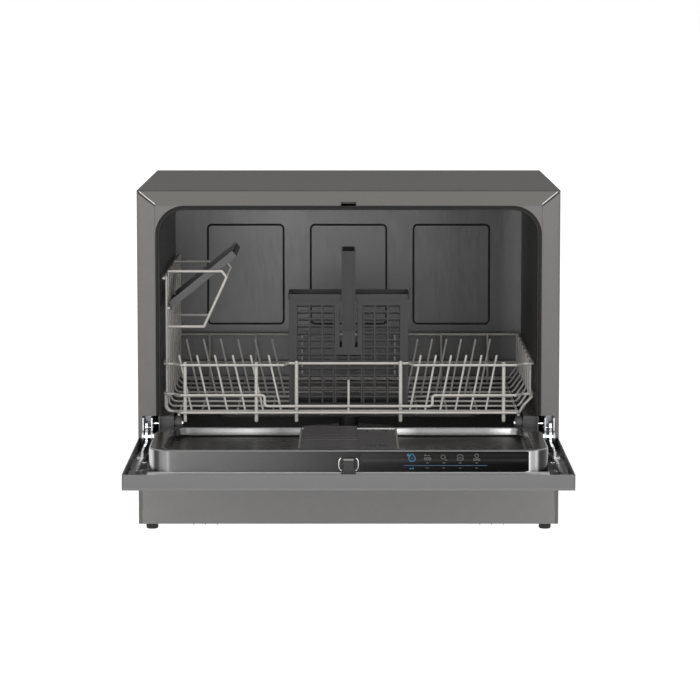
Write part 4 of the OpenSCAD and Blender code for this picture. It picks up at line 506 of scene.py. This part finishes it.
def sign(name, lines, material):
    """Printed sign: each line is a path in X and Z, a width and whether it closes on itself. Its section is a flat
    bar across the path, half the width to each side, with its edges carried back by SIGN_DEPTH."""
    points, faces = [], []
    for path, width, closed in lines:
        p = np.asarray(path, float)
        ahead = np.roll(p, -1, 0) - np.roll(p, 1, 0) if closed else np.gradient(p, axis=0)
        side = np.stack([ahead[:, 1], -ahead[:, 0]], -1) / np.linalg.norm(ahead, axis=1)[:, None] * width / 2
        near, far = SIGN_Y, SIGN_Y + SIGN_DEPTH
        grid = np.stack([np.insert(p + side, 1, near, 1), np.insert(p - side, 1, near, 1),
                         np.insert(p - side, 1, far, 1), np.insert(p + side, 1, far, 1)], 1)
        first, n = sum(map(len, points)), len(p)
        faces += grid_faces(n, 4, closed, True, first).tolist()
        if not closed:
            faces += [[first + k for k in range(4)][::-1], [first + 4 * n - 4 + k for k in range(4)]]
        points.append(grid.reshape(-1, 3))
    return piece(name, np.vstack(points), faces, material, "door", smooth=False)


def ink(name, colour):
    """Printed ink: an even colour with a little gloss."""
    return finish(name, colour, 0.4, mottle=0.03, bump=0.0)


BLUE = ink("blue_sign_ink", (0.02, 0.2, 0.36))
DEEP_BLUE = ink("deep_blue_line_ink", (0.025, 0.075, 0.15))
GREY = ink("grey_sign_ink", (0.1, 0.098, 0.092))
turn = np.linspace(0, 2 * math.pi, 25)[:-1]


def ring(x, z, rx, rz, width=0.7, a=turn, closed=True):
    """Line along an ellipse, or along the part of it that the angles give."""
    return np.column_stack([x + rx * np.cos(a), z + rz * np.sin(a)]), width, closed


def drop(x, z, r, width):
    """Water drop: a circle whose upper half narrows with the sine to a point."""
    w = r * np.cos(turn) * (1 - 0.45 * np.clip(np.sin(turn), 0, 1))
    return np.column_stack([x + w, z + r * np.sin(turn) * np.where(np.sin(turn) > 0, 1.35, 0.95)]), width, True


def dash(x, z, half, width=0.8):
    """Short level stroke."""
    return [(x - half, z), (x, z), (x + half, z)], width, False


bend = np.linspace(0, math.asin(6.5 / CORNER), 7)
corner_x = LINER_W - CORNER
run = np.vstack([np.column_stack([np.linspace(14, corner_x, 60), np.full(60, LINER_Y0)]),
                 np.column_stack([corner_x + CORNER * np.sin(bend), LINER_Y0 + CORNER * (1 - np.cos(bend))])[1:]])
away = np.vstack([np.tile([0, -1], (60, 1)), np.column_stack([np.sin(bend), -np.cos(bend)])[1:]])
inner, outer = 0.05, 0.2
skin = [np.column_stack([run + away * o, np.full(len(run), z)])
        for o, z in ((inner, FILM_Z[0]), (outer, FILM_Z[0]), (outer, FILM_Z[1]), (inner, FILM_Z[1]))]
film = closed_sweep("display_window", np.stack(skin, 1), FILM, "door")
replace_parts(film, "display_strip")
sign("sign_drop_large", [drop(77.2, 137.3, 4.0, 0.9), dash(77.2, 137.6, 1.0)], BLUE)
sign("sign_drop_small", [drop(72.6, 141.2, 1.0, 1.0)], BLUE)
sign("sign_mark_water", [dash(75.4, 124.6, 1.0, 1.4), dash(78.2, 124.9, 1.0, 1.4)], BLUE)
half_turn = np.linspace(0, math.pi, 13)
signs = [
    (96.0, [dash(-2.6, 141.0, 1.1, 1.6), dash(1.2, 140.6, 2.0, 0.7), ring(-2.6, 136.6, 1.2, 1.6),
            ring(0.4, 136.6, 1.2, 1.6), ring(3.2, 136.6, 1.0, 1.6)]),
    (116.1, [ring(-1.0, 138.8, 2.5, 2.6, 0.8), dash(2.6, 135.2, 1.4, 1.2)]),
    (135.8, [ring(0, 138.6, 3.8, 3.2, 0.8, half_turn, False), ring(0, 136.4, 3.9, 1.6, 0.8),
             dash(0, 138.4, 1.6, 0.7)]),
    (155.9, [ring(0, 140.4, 2.1, 2.2, 0.8), ring(-2.7, 135.6, 1.1, 1.2), dash(0, 135.8, 1.0, 2.0),
             ring(2.7, 135.6, 1.1, 1.2)]),
]
for n, (x, lines) in enumerate(signs):
    placed = [(np.asarray(path) + [x, 0], width, closed) for path, width, closed in lines]
    sign(f"sign_programme_{n + 1}", placed, GREY)
    sign(f"sign_mark_{n + 1}", [dash(x, 131.6, 1.6, 0.9), dash(x, 125.3, 1.6, 0.8)], GREY)
sign("sign_level_line", [([(67, 128.4), (118, 128.4), (169, 128.4)], 0.8, False)], DEEP_BLUE)


# Stage

def looked_at(t, rays):
    """One where the camera, a mirror or a glass looks at the stage, zero where a lamp's light bounces off it."""
    got = rays.outputs["Is Camera Ray"]
    for kind in ("Is Glossy Ray", "Is Transmission Ray"):
        either = t.nodes.new("ShaderNodeMath")
        either.operation = "MAXIMUM"
        t.links.new(got, either.inputs[0])
        t.links.new(rays.outputs[kind], either.inputs[1])
        got = either.outputs[0]
    return got


def white_stage(name, plain, glow):
    """Floor: a plain pale face that takes the shadow, plus a glow that only the camera and mirrors see."""
    m = bpy.data.materials.new(name)
    m.use_nodes = True
    t = m.node_tree
    s = t.nodes["Principled BSDF"]
    s.inputs["Base Color"].default_value = (plain, plain, plain, 1)
    s.inputs["Roughness"].default_value = 0.9
    rays = t.nodes.new("ShaderNodeLightPath")
    power = t.nodes.new("ShaderNodeMath")
    power.operation = "MULTIPLY"
    power.inputs[1].default_value = glow
    t.links.new(looked_at(t, rays), power.inputs[0])
    s.inputs["Emission Color"].default_value = (1, 1, 1, 1)
    t.links.new(power.outputs[0], s.inputs["Emission Strength"])
    return m


floor_mesh = bpy.data.meshes.new("studio_floor")
floor_mesh.from_pydata([(-30, -12, 0), (30, -12, 0), (30, 48, 0), (-30, 48, 0)], [], [(0, 1, 2, 3)])
floor_mesh.materials.append(white_stage("studio_floor_white", 0.8, 0.93))
studio_floor = bpy.data.objects.new("studio_floor", floor_mesh)
bpy.context.scene.collection.objects.link(studio_floor)

world = bpy.data.worlds.new("studio_air")
bpy.context.scene.world = world
world.use_nodes = True
wt = world.node_tree
air = wt.nodes["Background"]
air.inputs["Color"].default_value = (1, 1, 1, 1)
air.inputs["Strength"].default_value = 0.2
shown = wt.nodes.new("ShaderNodeBackground")
shown.inputs["Color"].default_value = (1, 1, 1, 1)
shown.inputs["Strength"].default_value = 1.0
pick = wt.nodes.new("ShaderNodeMixShader")
rays = wt.nodes.new("ShaderNodeLightPath")
wt.links.new(looked_at(wt, rays), pick.inputs[0])
wt.links.new(air.outputs[0], pick.inputs[1])
wt.links.new(shown.outputs[0], pick.inputs[2])
wt.links.new(pick.outputs[0], wt.nodes["World Output"].inputs["Surface"])


def softbox(name, place, target, width, height, watts):
    """Rectangular lamp at a place, turned to a target."""
    lamp = bpy.data.lights.new(name, "AREA")
    lamp.shape = "RECTANGLE"
    lamp.size = width
    lamp.size_y = height
    lamp.energy = watts
    ob = bpy.data.objects.new(name, lamp)
    ob.location = place
    way = np.array(target, float) - np.array(place, float)
    tilt, heading = math.atan2(math.hypot(way[0], way[1]), -way[2]), math.atan2(way[1], way[0])
    ob.rotation_euler = (tilt, 0, heading - math.pi / 2)
    bpy.context.scene.collection.objects.link(ob)


softbox("front_box", (-0.3, -4.6, 1.2), (0, 0, 0.2), 7.0, 2.0, 48)
softbox("low_box", (0, -4.6, 0.36), (0, 0, 0.06), 6.0, 0.6, 52)
softbox("high_strip", (0, -2.6, 3.2), (0, 0, 0.2), 3.4, 0.6, 20)
softbox("left_strip", (-2.4, -1.2, 0.8), (0, 0, 0.2), 0.8, 1.4, 8)
softbox("right_strip", (2.4, -1.2, 0.8), (0, 0, 0.2), 0.8, 1.4, 8)


# Camera, as the photograph was taken

eye = bpy.data.cameras.new("photo_view")
eye.lens = 168.0
eye.sensor_width = 36.0
eye.shift_x = 0.00207
eye.shift_y = -0.00757
eye.clip_end = 100.0
eye_object = bpy.data.objects.new("photo_view", eye)
eye_object.location = (0.0, -4.31073, 0.706868)
eye_object.rotation_euler = (math.radians(90 - 6.243), 0, 0)
bpy.context.scene.collection.objects.link(eye_object)
bpy.context.scene.camera = eye_object
bpy.context.scene.view_settings.view_transform = "Standard"
